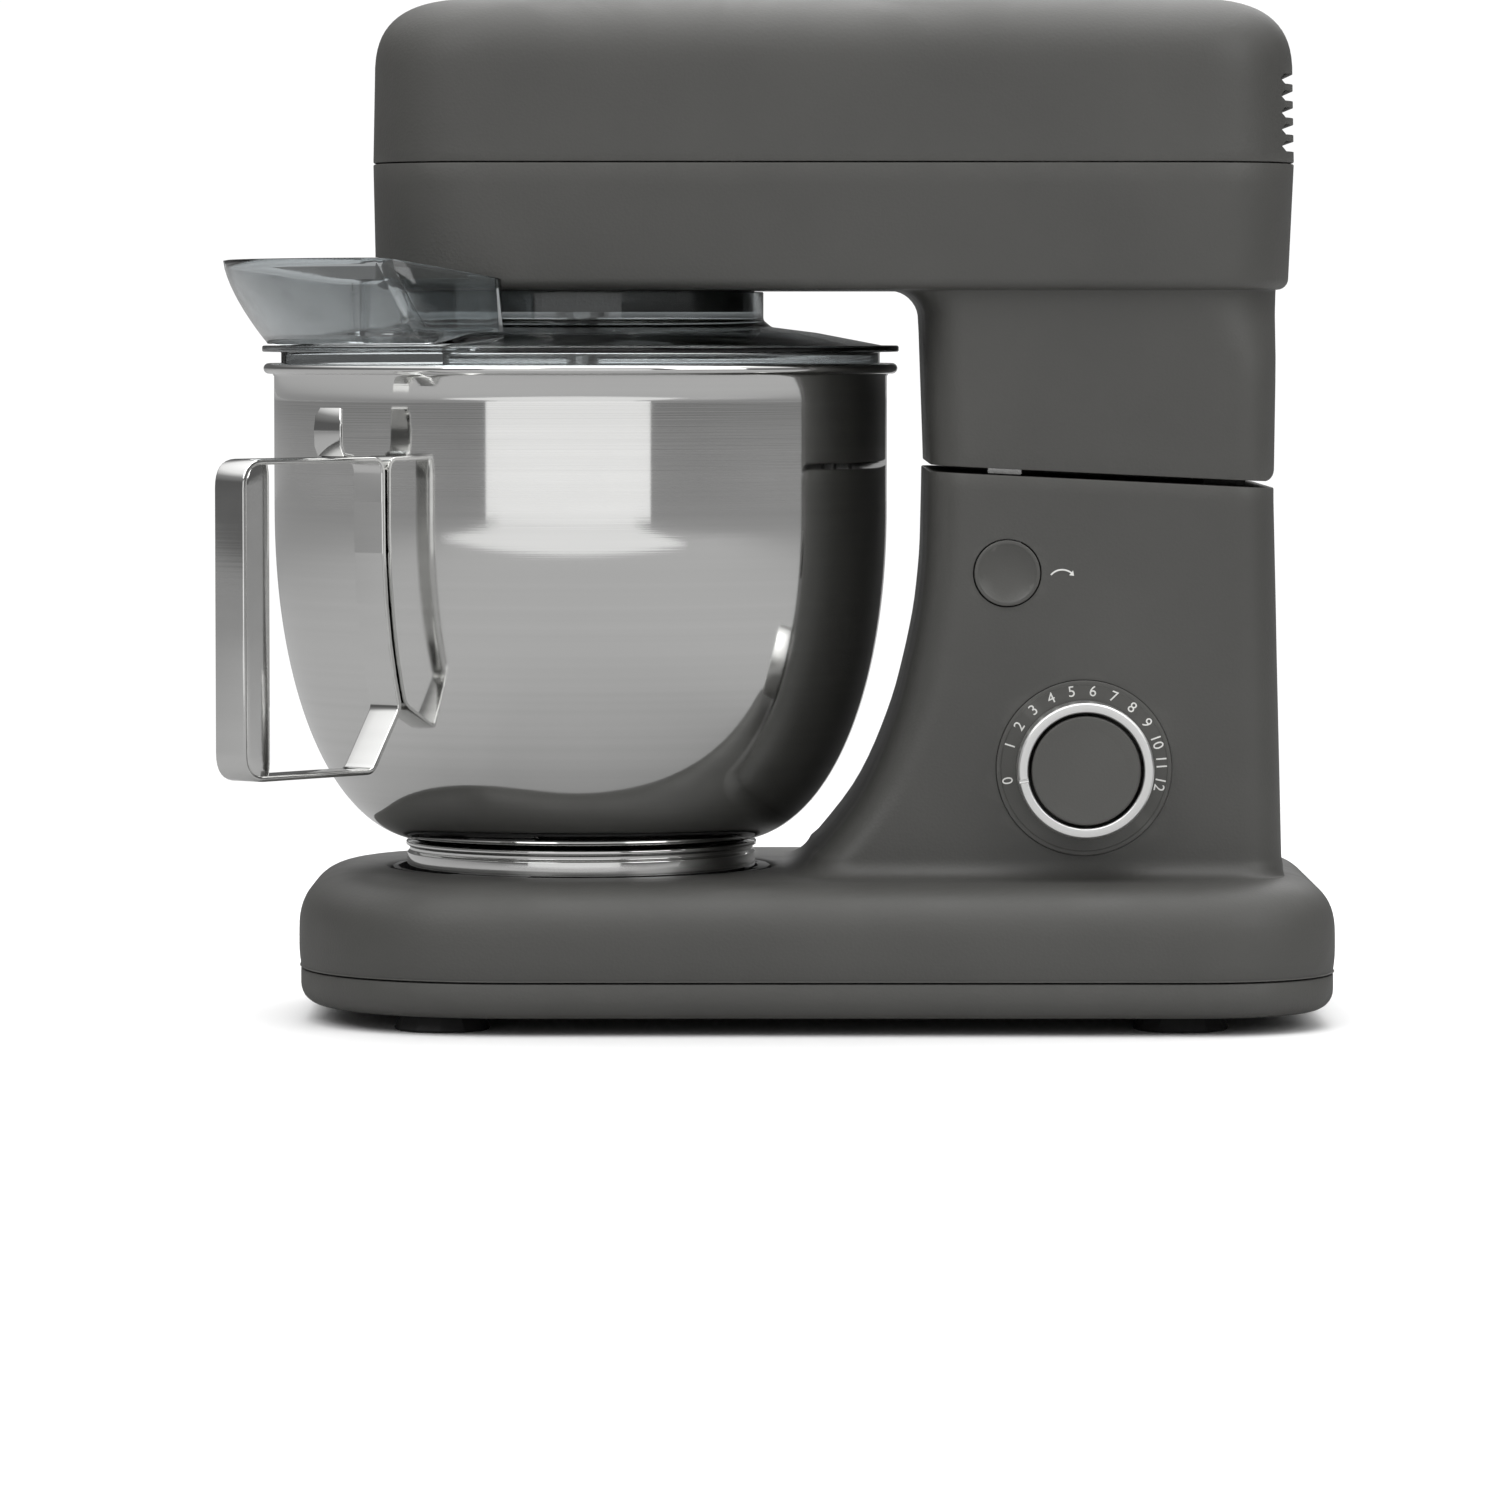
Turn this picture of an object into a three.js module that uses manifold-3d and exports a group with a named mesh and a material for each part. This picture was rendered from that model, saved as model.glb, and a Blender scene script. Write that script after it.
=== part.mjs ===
// Tilt-head planetary stand mixer, in millimetres, +Z up.
// X runs from the bowl (negative) to the column (positive); the dial and the tilt button are on the -Y side.
// Everything is drawn about the bowl's axis; the last lines move the origin to the middle of the footprint.

import * as THREE from 'three';
import { mergeVertices } from 'three/addons/utils/BufferGeometryUtils.js';
import Module from 'manifold-3d';

const wasm = await Module();
wasm.setup();

// ---------------------------------------------------------------------------------------------------------
// Driving dimensions
// ---------------------------------------------------------------------------------------------------------

const gap = 0.3; // left between pieces that seat on or in each other
const runningGap = 0.6; // between pieces that move past each other
const shellWall = 3; // moulded casings

// Stance and base
const footHeight = 6;
const footRadius = 17;
const footSpacing = 263; // front pair to rear pair
const footInset = 53.6; // front of the base to the front pair
const footSpread = 75; // from the middle to each row
const panHeight = 13; // underside of the pan to the seam
const baseTop = 53.7; // above the floor
const baseLength = 373;
const baseHalfWidth = 108;
const baseFrontReach = 101.6; // from the bowl's axis to the front of the base
const baseFrontCorner = 85;
const baseRearCorner = 55;
const baseEdgeHeight = 22; // rounding of the upper edge, up and in
const baseEdgeInset = 18;
const panEdge = 7;

// Column and neck
const columnHalfWidth = 73;
const columnDepth = 124; // front to rear at the tilt seam
const columnEdgeAlong = 16; // rounding of the upright edges, along X and along Y
const columnEdgeAcross = 22;
const columnFlareReach = 40; // how far the front of the column runs out over the base
const columnFlareHeight = 116;
const columnRearDraft = 4;
const seamDrop = 6; // the tilt seam falls this much from front to rear
const seamGap = 2.3;
const neckHeight = 62.3; // underside of the head to the seam at the front
const neckFillet = 10;
const tiltEdge = 5; // rounded rear lower edge of the neck

// Head
const headBottom = 263;
const headHeight = 105;
const coverHeight = 60;
const headLength = 330;
const headFrontReach = 73.5; // from the bowl's axis to the nose
const headHalfWidth = 80;
const headFrontCorner = 45;
const headRearCorner = 40;
const coverEdge = 24;
const headLowerEdge = 4;
const ventCount = 5;
const ventPitch = 6;
const ventHeight = 3.6;

// Bowl
const bowlRadius = 111.6; // outside, at the straight wall
const bowlWall = 1.2;
const bowlFloor = 63; // underside of the floor above the table
const bowlRimTop = 236.6;
const bowlStraight = 62; // height of the straight wall below the rim bead
const bowlFloorRadius = 55.7;
const bowlSides = 32; // facets of the turned wall
const rimBead = 1.9;
const footRingRadius = 63.6;
const footRingWall = 2;
const lugWidth = 28; // degrees of each bayonet lug
const lugCount = 3;
const lugReach = 2.6;

// Bowl handle
const handleAngle = 230; // degrees about the bowl's axis from +X
const handleReach = 184.5;
const handleTop = 204;
const handleHeight = 112;
const handleWidth = 14;
const handleLegRise = 23; // the leg on the bowl's wall ends this much above the loop's lower edge
const handleHeel = 119; // from the axis to where the lower strap turns up to that leg
const handleCorner = 9;
const gripDepth = 15;
const strapThickness = 2;
const thumbTab = { reach: 134, height: 17, width: 13, thickness: 1.5 };

// Splash guard and feed chute
const guardWall = 2;
const guardFlange = 2.3;
const guardLift = 4.1; // the flange stands this much above the bowl's rim
const collarRadius = 66.6;
const chuteStart = 186.3; // degrees about the bowl's axis
const chuteEnd = 242.5;
const chuteHeight = 30;
const chuteInnerDrop = 7; // the chute's edge beside the head is this much lower
const chuteFlare = 19;
const chuteHeadRoom = 3.4; // between the head's side and the middle of the chute's wall
const chuteNose = 15; // the wall follows the head's front to this far inside its corner

// Planetary drive
const gearModule = 2;
const ringTeeth = 42;
const planetTeeth = 12;
const wheelTeeth = 46;
const pinionTeeth = 11;
const gearFace = 9;
const toolShaftRadius = 6;
const motorToHinge = 66.1; // the motor's axis stands this far in front of the hinge pin
const largePulleyRadius = 36;
const smallPulleyRadius = 9;

// Motor
const statorRadius = 40;
const statorHeight = 46;
const rotorRadius = 20.5;
const motorShaftRadius = 4;
const fan = { lift: 10, hub: 8, plate: 32, thickness: 1.4, blades: 9, bladeHeight: 6, bladeWidth: 1.4 };
const commutatorSize = { radius: 11, height: 12 };
const brush = { width: 8, length: 16, height: 7 };

// Flat beater
const beaterClearance = 12.4; // the middle of the frame's bar to the bowl's wall, at its closest
const wiperClearance = 3; // between the blade's edge and the bowl's wall
const beaterBar = 8.8;
const hubRadius = 12.4;
const shieldRadius = 34.3;

// Controls
const dialX = 180.5;
const dialZ = 93.1;
const dialRadius = 31.2;
const knobRadius = 24.1;
const knobHeight = 17;
const buttonX = 153.1;
const buttonZ = 162.4;
const buttonRadius = 12;
const buttonTravel = 4;
const knob = { spindle: 3, ringInner: 19.8, face: 19.3 };

// Small parts
const foot = { stem: 5, cup: 1.6, lip: 2.5 };
const screw = { shank: 1.6, head: 3.2, headHeight: 2, boss: 5 };
const panScrew = { frontInset: 22, frontSpread: 30, rearInset: 24, rearSpread: 40 };
const board = { length: 70, width: 54, thickness: 1.6, reach: 30, lift: 6 };
const gland = { radius: 7, z: 30, length: 9 };

// ---------------------------------------------------------------------------------------------------------
// Worked out from the driving dimensions
// ---------------------------------------------------------------------------------------------------------

const panBottom = footHeight;
const panTop = footHeight + panHeight;
const baseFront = -baseFrontReach;
const baseRear = baseFront + baseLength;
const seatRadius = footRingRadius + 2 * lugReach + gap;
const recessRadius = seatRadius + gap;
const seatBottom = bowlFloor - 18.7;
const footRingBottom = seatBottom + 3.2;
const bowlInnerRadius = bowlRadius - bowlWall;
const rimRadius = bowlRadius + 2 * rimBead;
const columnFront = rimRadius + 9.6;
const columnRear = columnFront + columnDepth;
const headTop = headBottom + headHeight;
const coverSeam = headTop - coverHeight;
const headFront = -headFrontReach;
const headRear = headFront + headLength;
const seamFront = headBottom - neckHeight; // neck's lower edge, at its front
const seamRear = seamFront - seamDrop;
const hinge = { x: columnRear - 7.9, z: seamRear + 6.3, pinRadius: 3 };
const flangeBottom = bowlRimTop + guardLift;
const flangeRadius = rimRadius + 0.5;
const planetOffset = (gearModule * (ringTeeth - planetTeeth)) / 2;
const counterX = (gearModule * (wheelTeeth + pinionTeeth)) / 2;
const motorX = hinge.x - motorToHinge;
const beltCentres = motorX - counterX;
const beaterReach = bowlInnerRadius - planetOffset - beaterClearance;
const hubTop = headBottom - 30;
const beaterBottom = bowlFloor + bowlWall + 3.3;
const wiperReach = bowlInnerRadius * Math.cos(Math.PI / bowlSides) - planetOffset - wiperClearance;

// Heights of the drive, up from the underside of the head
const drive = {
  carrierBottom: headBottom - 7.5,
  carrierTop: headBottom - 1.5,
  ringBottom: headBottom + shellWall + 2.5,
  wheelBottom: headBottom + 21,
  chassisBottom: headBottom + 35,
  beltBottom: headBottom + 74,
  statorBottom: headBottom + 10,
};
const chassisThickness = 4;

// ---------------------------------------------------------------------------------------------------------
// Geometry helpers
// ---------------------------------------------------------------------------------------------------------

const quarter = Math.PI / 2;
const degrees = (angle) => (angle * Math.PI) / 180;

function solid(geometry) {
  const bare = geometry.index ? geometry.toNonIndexed() : geometry.clone();
  bare.deleteAttribute('normal');
  bare.deleteAttribute('uv');
  const merged = mergeVertices(bare);
  return new wasm.Manifold(
    new wasm.Mesh({
      numProp: 3,
      vertProperties: new Float32Array(merged.attributes.position.array),
      triVerts: new Uint32Array(merged.index.array),
    }),
  );
}

function geometryOf(manifold) {
  const result = manifold.getMesh();
  const geometry = new THREE.BufferGeometry();
  geometry.setAttribute('position', new THREE.BufferAttribute(result.vertProperties, 3));
  geometry.setIndex(new THREE.BufferAttribute(result.triVerts, 1));
  geometry.computeVertexNormals();
  return geometry;
}

const joined = (first, ...others) => others.reduce((sum, other) => sum.add(other), first);
const cut = (first, ...others) => others.reduce((left, other) => left.subtract(other), first);

// A box between two corners.
function block([x0, y0, z0], [x1, y1, z1]) {
  const geometry = new THREE.BoxGeometry(x1 - x0, y1 - y0, z1 - z0);
  geometry.translate((x0 + x1) / 2, (y0 + y1) / 2, (z0 + z1) / 2);
  return solid(geometry);
}

// An outline in the XY plane, raised from z0 to z1.
function raised(shape, z0, z1, curveSegments = 3) {
  const geometry = new THREE.ExtrudeGeometry(shape, { depth: z1 - z0, bevelEnabled: false, curveSegments });
  geometry.translate(0, 0, z0);
  return solid(geometry);
}

// The same with its edges rounded: edge = { up, inward, steps } at both ends.
function cushioned(shape, z0, z1, edge, curveSegments = 3) {
  const geometry = new THREE.ExtrudeGeometry(shape, {
    depth: z1 - z0 - 2 * edge.up,
    bevelThickness: edge.up,
    bevelSize: edge.inward,
    bevelOffset: -edge.inward,
    bevelSegments: edge.steps,
    curveSegments,
  });
  geometry.translate(0, 0, z0 + edge.up);
  return solid(geometry);
}

function disc(radius, z0, z1, { x = 0, y = 0, sides = 32 } = {}) {
  const geometry = new THREE.CylinderGeometry(radius, radius, z1 - z0, sides);
  geometry.rotateX(quarter);
  geometry.translate(x, y, (z0 + z1) / 2);
  return solid(geometry);
}

// A round bar along Y, from y0 to y1.
function barAcross(radius, y0, y1, { x = 0, z = 0, sides = 24 } = {}) {
  const geometry = new THREE.CylinderGeometry(radius, radius, y1 - y0, sides);
  geometry.translate(x, (y0 + y1) / 2, z);
  return solid(geometry);
}

const tube = (outer, inner, z0, z1, options) =>
  cut(disc(outer, z0, z1, options), disc(inner, z0 - 1, z1 + 1, options));

// A closed profile of [radius, height] pairs, turned about the Z axis.
function turned(profile, sides = 36) {
  const points = [...profile, profile[0]].map(([radius, height]) => new THREE.Vector2(radius, height));
  const geometry = new THREE.LatheGeometry(points, sides);
  geometry.rotateX(quarter);
  return solid(geometry);
}

// A profile whose ends lie on the axis.
function turnedSolid(profile, sides = 36) {
  const points = profile.map(([radius, height]) => new THREE.Vector2(radius, height));
  const geometry = new THREE.LatheGeometry(points, sides);
  geometry.rotateX(quarter);
  return solid(geometry);
}

// A piece of a ring between two angles in degrees.
function arcBlock(outer, inner, z0, z1, start, end, steps = 4) {
  const shape = new THREE.Shape();
  shape.absarc(0, 0, outer, degrees(start), degrees(end), false);
  shape.absarc(0, 0, inner, degrees(end), degrees(start), true);
  shape.closePath();
  return raised(shape, z0, z1, steps);
}

// An outline in the XZ plane, as wide as y0 to y1.
function upright(shape, y0, y1, curveSegments = 3) {
  const geometry = new THREE.ExtrudeGeometry(shape, { depth: y1 - y0, bevelEnabled: false, curveSegments });
  geometry.rotateX(quarter);
  geometry.translate(0, y1, 0);
  return solid(geometry);
}

function uprightCushioned(shape, halfWidth, edge, curveSegments = 3) {
  return cushioned(shape, -halfWidth, halfWidth, edge, curveSegments).rotate([90, 0, 0]);
}

function polygon(points) {
  return new THREE.Shape(points.map(([x, y]) => new THREE.Vector2(x, y)));
}

// A bar of rounded section along a curve.
function sweep(curve, section, steps) {
  return solid(new THREE.ExtrudeGeometry(section, { extrudePath: curve, steps, bevelEnabled: false }));
}

function roundSection(radius, sides) {
  return new THREE.Shape(new THREE.EllipseCurve(0, 0, radius, radius).getPoints(sides).slice(0, sides));
}

// A rounded rectangle seen from above, with its own corner radius at the front and the rear.
function planShape({ front, rear, halfWidth, frontCorner, rearCorner }, inset = 0) {
  const x0 = front + inset;
  const x1 = rear - inset;
  const y = halfWidth - inset;
  const r0 = Math.min(Math.max(frontCorner - inset, 1), y - 1);
  const r1 = Math.min(Math.max(rearCorner - inset, 1), y - 1);
  const shape = new THREE.Shape();
  shape.absarc(x1 - r1, r1 - y, r1, -quarter, 0, false);
  shape.absarc(x1 - r1, y - r1, r1, 0, quarter, false);
  shape.absarc(x0 + r0, y - r0, r0, quarter, 2 * quarter, false);
  shape.absarc(x0 + r0, r0 - y, r0, 2 * quarter, 3 * quarter, false);
  shape.closePath();
  return shape;
}

// Teeth with straight flanks: a run of [radius, angle] points for each tooth.
function toothPoints(teeth, rootRadius, tipRadius, rootWidth, tipWidth) {
  const points = [];
  for (let tooth = 0; tooth < teeth; tooth += 1) {
    const middle = (2 * Math.PI * tooth) / teeth;
    const rootHalf = rootWidth / 2 / rootRadius;
    const tipHalf = tipWidth / 2 / tipRadius;
    const corners = [
      [rootRadius, middle - rootHalf],
      [tipRadius, middle - tipHalf],
      [tipRadius, middle + tipHalf],
      [rootRadius, middle + rootHalf],
    ];
    for (const [radius, angle] of corners) {
      points.push(new THREE.Vector2(radius * Math.cos(angle), radius * Math.sin(angle)));
    }
  }
  return points;
}

const toothPitch = Math.PI * gearModule;
const addendum = 0.75 * gearModule;
const dedendum = 1.05 * gearModule;

function gear(teeth, z0, z1) {
  const pitchRadius = (gearModule * teeth) / 2;
  const points = toothPoints(
    teeth,
    pitchRadius - dedendum,
    pitchRadius + addendum,
    0.6 * toothPitch,
    0.2 * toothPitch,
  );
  return raised(new THREE.Shape(points), z0, z1);
}

// The space inside a ring gear: subtracted from a disc, it leaves the inward teeth.
function ringGearBore(teeth, z0, z1) {
  const pitchRadius = (gearModule * teeth) / 2;
  const points = toothPoints(
    teeth,
    pitchRadius - addendum,
    pitchRadius + dedendum,
    0.8 * toothPitch,
    0.4 * toothPitch,
  );
  const halfTooth = 180 / teeth;
  return raised(new THREE.Shape(points), z0, z1).rotate([0, 0, halfTooth]);
}

// ---------------------------------------------------------------------------------------------------------
// Materials and the scene graph
// ---------------------------------------------------------------------------------------------------------

const finishes = {
  casing: { color: 0x52524f, roughness: 0.55, metalness: 0.0 },
  rubber: { color: 0x1a1a1a, roughness: 0.8, metalness: 0.0 },
  polished: { color: 0xc8c8c8, roughness: 0.08, metalness: 1.0 },
  satin: { color: 0xb9b9b9, roughness: 0.3, metalness: 1.0 },
  smoky: { color: 0x3b4043, roughness: 0.1, metalness: 0.0, transparent: true, opacity: 0.6 },
  coated: { color: 0x575650, roughness: 0.6, metalness: 0.2 },
  silicone: { color: 0x55544f, roughness: 0.7, metalness: 0.0 },
  steel: { color: 0x8c8f92, roughness: 0.4, metalness: 1.0 },
  copper: { color: 0xa5602f, roughness: 0.4, metalness: 0.9 },
  nylon: { color: 0xd8d4c8, roughness: 0.6, metalness: 0.0 },
  blackPlastic: { color: 0x202124, roughness: 0.5, metalness: 0.0 },
  circuit: { color: 0x1f5a35, roughness: 0.5, metalness: 0.0 },
};

const mixer = new THREE.Group();
const base = new THREE.Group();
const head = new THREE.Group();
const bowlGroup = new THREE.Group();
const carrierGroup = new THREE.Group();
const planetGroup = new THREE.Group();
planetGroup.position.y = planetOffset;
const counterGroup = new THREE.Group();
counterGroup.position.x = counterX;
const rotorGroup = new THREE.Group();
rotorGroup.position.x = motorX;
mixer.add(base, head, bowlGroup);
head.add(carrierGroup, counterGroup, rotorGroup);
carrierGroup.add(planetGroup);

function part(group, name, finish, body, position = [0, 0, 0]) {
  const mesh = new THREE.Mesh(geometryOf(body), new THREE.MeshStandardMaterial(finishes[finish]));
  mesh.name = name;
  mesh.position.set(...position);
  group.add(mesh);
  return mesh;
}

// ---------------------------------------------------------------------------------------------------------
// Base and column
// ---------------------------------------------------------------------------------------------------------

const basePlan = {
  front: baseFront,
  rear: baseRear,
  halfWidth: baseHalfWidth,
  frontCorner: baseFrontCorner,
  rearCorner: baseRearCorner,
};
const feetAt = [
  [baseFront + footInset, -footSpread],
  [baseFront + footInset, footSpread],
  [baseFront + footInset + footSpacing, -footSpread],
  [baseFront + footInset + footSpacing, footSpread],
];
const panScrewsAt = [
  [baseFront + panScrew.frontInset, panScrew.frontSpread],
  [baseFront + panScrew.frontInset, -panScrew.frontSpread],
  [baseRear - panScrew.rearInset, panScrew.rearSpread],
  [baseRear - panScrew.rearInset, -panScrew.rearSpread],
];
const panFloor = panBottom + shellWall;

// The column's side view: upright at the seam, running out over the base at the front.
function columnProfile(inset, zBottom, zTop) {
  const front = columnFront - 0.8 + inset;
  const foot = baseTop - 3;
  const flareTop = foot + columnFlareHeight;
  const flareFoot = front - columnFlareReach;
  const shape = new THREE.Shape();
  shape.moveTo(flareFoot, zBottom);
  shape.lineTo(flareFoot, foot);
  const flareMiddle = [front - 20, foot + 32];
  shape.bezierCurveTo(...flareMiddle, front - 1, flareTop - 50, front, flareTop);
  shape.lineTo(front + 0.8, zTop);
  shape.lineTo(columnRear - inset, zTop);
  shape.lineTo(columnRear + columnRearDraft - inset, zBottom);
  shape.closePath();
  return shape;
}

// Everything above a plane that falls from zFront at the column's front to zRear at its rear.
function aboveSeam(zFront, zRear) {
  const slope = (zRear - zFront) / columnDepth;
  const x0 = baseFront - 60;
  const x1 = columnRear + 60;
  const high = headTop + 60;
  const outline = polygon([
    [x0, zFront + slope * (x0 - columnFront)],
    [x1, zFront + slope * (x1 - columnFront)],
    [x1, high],
    [x0, high],
  ]);
  return upright(outline, -200, 200);
}

const columnEdge = { up: columnEdgeAcross, inward: columnEdgeAlong, steps: 3 };
const innerEdge = { up: columnEdgeAcross - shellWall, inward: columnEdgeAlong - shellWall, steps: 2 };

function makeBaseShell() {
  const edge = { up: baseEdgeHeight, inward: baseEdgeInset, steps: 3 };
  const inside = { up: baseEdgeHeight - shellWall, inward: baseEdgeInset - shellWall, steps: 2 };
  const shellBottom = panTop + gap / 2;
  const tall = columnProfile(0, shellBottom + 8, seamFront + 20);
  const column = uprightCushioned(tall, columnHalfWidth, columnEdge);
  const outer = joined(cushioned(planShape(basePlan), shellBottom - 2 * baseEdgeHeight, baseTop, edge), column);

  const hollow = cushioned(
    planShape(basePlan, shellWall),
    shellBottom - 3 * baseEdgeHeight,
    baseTop - shellWall,
    inside,
  );
  const shaft = columnProfile(shellWall, panBottom, seamFront + 30);
  const columnHollow = uprightCushioned(shaft, columnHalfWidth - shellWall, innerEdge);
  const recessCup = disc(recessRadius + shellWall, seatBottom - shellWall, baseTop + 1, { sides: 36 });
  const bosses = panScrewsAt.map(([x, y]) => disc(screw.boss, panFloor + gap, baseTop - 1, { x, y, sides: 10 }));
  let inner = joined(hollow, columnHollow);
  inner = cut(inner, recessCup, ...bosses);

  const pilots = panScrewsAt.map(([x, y]) => disc(screw.shank + gap, panFloor - 1, baseTop - 8, { x, y, sides: 8 }));
  const floorCut = block([baseFront - 9, -200, -100], [baseRear + 9, 200, shellBottom]);
  const keptBosses = panScrewsAt.map(([x, y]) =>
    disc(screw.boss, panFloor + gap, shellBottom + 1, { x, y, sides: 10 }),
  );
  const recess = disc(recessRadius, seatBottom - gap, baseTop + 90, { sides: 36 });
  const buttonHole = barAcross(buttonRadius + gap, -columnHalfWidth - 1, -40, { x: buttonX, z: buttonZ });
  const spindleHole = barAcross(knob.spindle + runningGap, -columnHalfWidth - 1, -40, { x: dialX, z: dialZ });
  const glandHole = disc(gland.radius + gap, baseRear - 30, baseRear + 5, { sides: 16 })
    .rotate([0, 90, 0])
    .translate([0, 0, gland.z]);
  let shell = cut(outer, inner, floorCut, aboveSeam(seamFront - seamGap, seamRear - seamGap));
  shell = joined(shell, ...keptBosses);
  return cut(shell, ...pilots, recess, buttonHole, spindleHole, glandHole);
}

part(base, 'base_shell', 'casing', makeBaseShell());

function makeBasePan() {
  const rounding = { up: panEdge, inward: panEdge, steps: 2 };
  const top = panTop - gap / 2;
  const outer = cushioned(planShape(basePlan, 0.4), panBottom, top + 2 * panEdge, rounding);
  const insideEdge = { up: panEdge - 2, inward: panEdge - 2, steps: 2 };
  const inside = cushioned(planShape(basePlan, 0.4 + shellWall), panFloor, top + 3 * panEdge, insideEdge);
  const above = block([baseFront - 9, -200, top], [baseRear + 9, 200, top + 100]);
  const stems = feetAt.map(([x, y]) => disc(foot.stem + gap, 0, 20, { x, y, sides: 12 }));
  const screwHoles = panScrewsAt.map(([x, y]) => disc(screw.shank + gap, 0, 20, { x, y, sides: 8 }));
  return cut(outer, inside, above, ...stems, ...screwHoles);
}

part(base, 'base_pan', 'casing', makeBasePan());

// A suction foot: a hollow underside, a flat ring to stand on and a stem through the pan.
function makeFoot() {
  return turnedSolid(
    [
      [0, foot.cup],
      [footRadius - 9, foot.cup],
      [footRadius - 6, 0],
      [footRadius - 0.5, 0],
      [footRadius, 1],
      [footRadius - foot.lip, footHeight - gap],
      [foot.stem, footHeight - gap],
      [foot.stem, panFloor + 2],
      [0, panFloor + 2],
    ],
    12,
  );
}
feetAt.forEach(([x, y], index) => part(base, `foot_${index + 1}`, 'rubber', makeFoot(), [x, y, 0]));

function makeScrew(length) {
  return turnedSolid(
    [
      [0, -screw.headHeight],
      [screw.head - 1, -screw.headHeight],
      [screw.head, -0.6],
      [screw.head, 0],
      [screw.shank, 0],
      [screw.shank, length],
      [0, length],
    ],
    8,
  );
}
panScrewsAt.forEach(([x, y], index) =>
  part(base, `pan_screw_${index + 1}`, 'steel', makeScrew(20), [x, y, panBottom - gap]),
);

// The bowl's socket: a plate with a low wall and lugs that reach over the lugs on the bowl's foot.
function makeBowlSeat() {
  const plate = tube(seatRadius, 20, seatBottom, seatBottom + 2, { sides: 28 });
  const wall = tube(seatRadius, seatRadius - 2, seatBottom + 1, seatBottom + 9, { sides: 28 });
  const lugs = Array.from({ length: lugCount }, (_, index) => {
    const middle = (360 / lugCount) * index;
    const inner = footRingRadius + 0.9;
    return arcBlock(seatRadius - 1, inner, seatBottom + 6.8, seatBottom + 9, middle - lugWidth / 2, middle + lugWidth / 2);
  });
  return joined(plate, wall, ...lugs);
}
part(base, 'bowl_seat', 'blackPlastic', makeBowlSeat());

// Cord inlet: a bushing flush with the back of the base.
function makeCordGland() {
  const bushing = disc(gland.radius, -1.5, gland.length, { sides: 16 });
  const flange = disc(gland.radius + 2.5, gland.length - 3 + gap, gland.length, { sides: 16 });
  const bore = disc(gland.radius - 3, -3, gland.length + 2, { sides: 12 });
  return cut(joined(bushing, flange), bore).rotate([0, -90, 0]);
}
part(base, 'cord_gland', 'rubber', makeCordGland(), [baseRear - 1.8, 0, gland.z]);

function makeControlBoard() {
  const { length, width, thickness } = board;
  const plate = block([0, 0, 0], [length, width, thickness]);
  const sunk = thickness - 0.6; // each part stands this far into the plate
  const heatSink = block([8, 8, sunk], [26, 30, 15]);
  const choke = disc(8, sunk, 13, { x: 48, y: 18, sides: 12 });
  const relay = block([36, 34, sunk], [60, 46, 11]);
  return joined(plate, heatSink, choke, relay);
}
part(base, 'control_board', 'circuit', makeControlBoard(), [
  dialX - board.reach,
  -board.width / 2,
  panTop + board.lift,
]);

// ---------------------------------------------------------------------------------------------------------
// Dial and tilt button, on the near side of the column
// ---------------------------------------------------------------------------------------------------------

const nearFace = -columnHalfWidth;
const discThickness = 1.2;

part(
  base,
  'number_disc',
  'casing',
  cut(
    barAcross(dialRadius, nearFace - gap - discThickness, nearFace - gap, { sides: 32 }),
    barAcross(knob.spindle + runningGap, nearFace - 9, nearFace + 9),
  ),
  [dialX, 0, dialZ],
);

const switchBack = nearFace + shellWall + gap;
part(
  base,
  'speed_switch',
  'blackPlastic',
  cut(
    joined(
      barAcross(14, switchBack, switchBack + 18, { sides: 20 }),
      block([-8, switchBack + 6, -24], [8, switchBack + 16, -8]),
    ),
    barAcross(knob.spindle + runningGap, switchBack - 1, switchBack + 12),
  ),
  [dialX, 0, dialZ],
);

const knobBack = nearFace - gap - discThickness - runningGap;
const knobFront = knobBack - knobHeight;

function makeKnobRing() {
  const ring = cut(
    barAcross(knobRadius, knobFront, knobBack, { sides: 36 }),
    barAcross(knob.ringInner, knobFront - 1, knobBack + 1, { sides: 36 }),
  );
  const pointer = block([-knobRadius - 1, knobFront - 1, -1], [-knob.ringInner - 1.2, knobFront + 0.6, 1]);
  return cut(ring, pointer);
}
part(base, 'knob_ring', 'satin', makeKnobRing(), [dialX, 0, dialZ]);

function makeSpeedKnob() {
  const cap = barAcross(knob.face, knobFront + 0.4, knobBack, { sides: 36 });
  const spindle = barAcross(knob.spindle, knobBack - 1, switchBack + 10, { sides: 16 });
  return joined(cap, spindle);
}
part(base, 'speed_knob', 'casing', makeSpeedKnob(), [dialX, 0, dialZ]);

// The button's nose ends just short of the catch on the head.
const catchFace = nearFace + 30;
function makeTiltButton() {
  const face = nearFace - 0.4;
  const dished = turnedSolid(
    [
      [0, -6],
      [buttonRadius - gap, -6],
      [buttonRadius - gap, 0.4],
      [buttonRadius - 1.6, 1],
      [buttonRadius - 5, -0.2],
      [0, -1],
    ],
    28,
  ).rotate([90, 0, 0]);
  const stem = barAcross(3.5, 4, catchFace - face - gap - runningGap, { sides: 14 });
  return joined(dished, stem).translate([0, face, 0]);
}
part(base, 'tilt_button', 'casing', makeTiltButton(), [buttonX, 0, buttonZ]);

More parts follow.
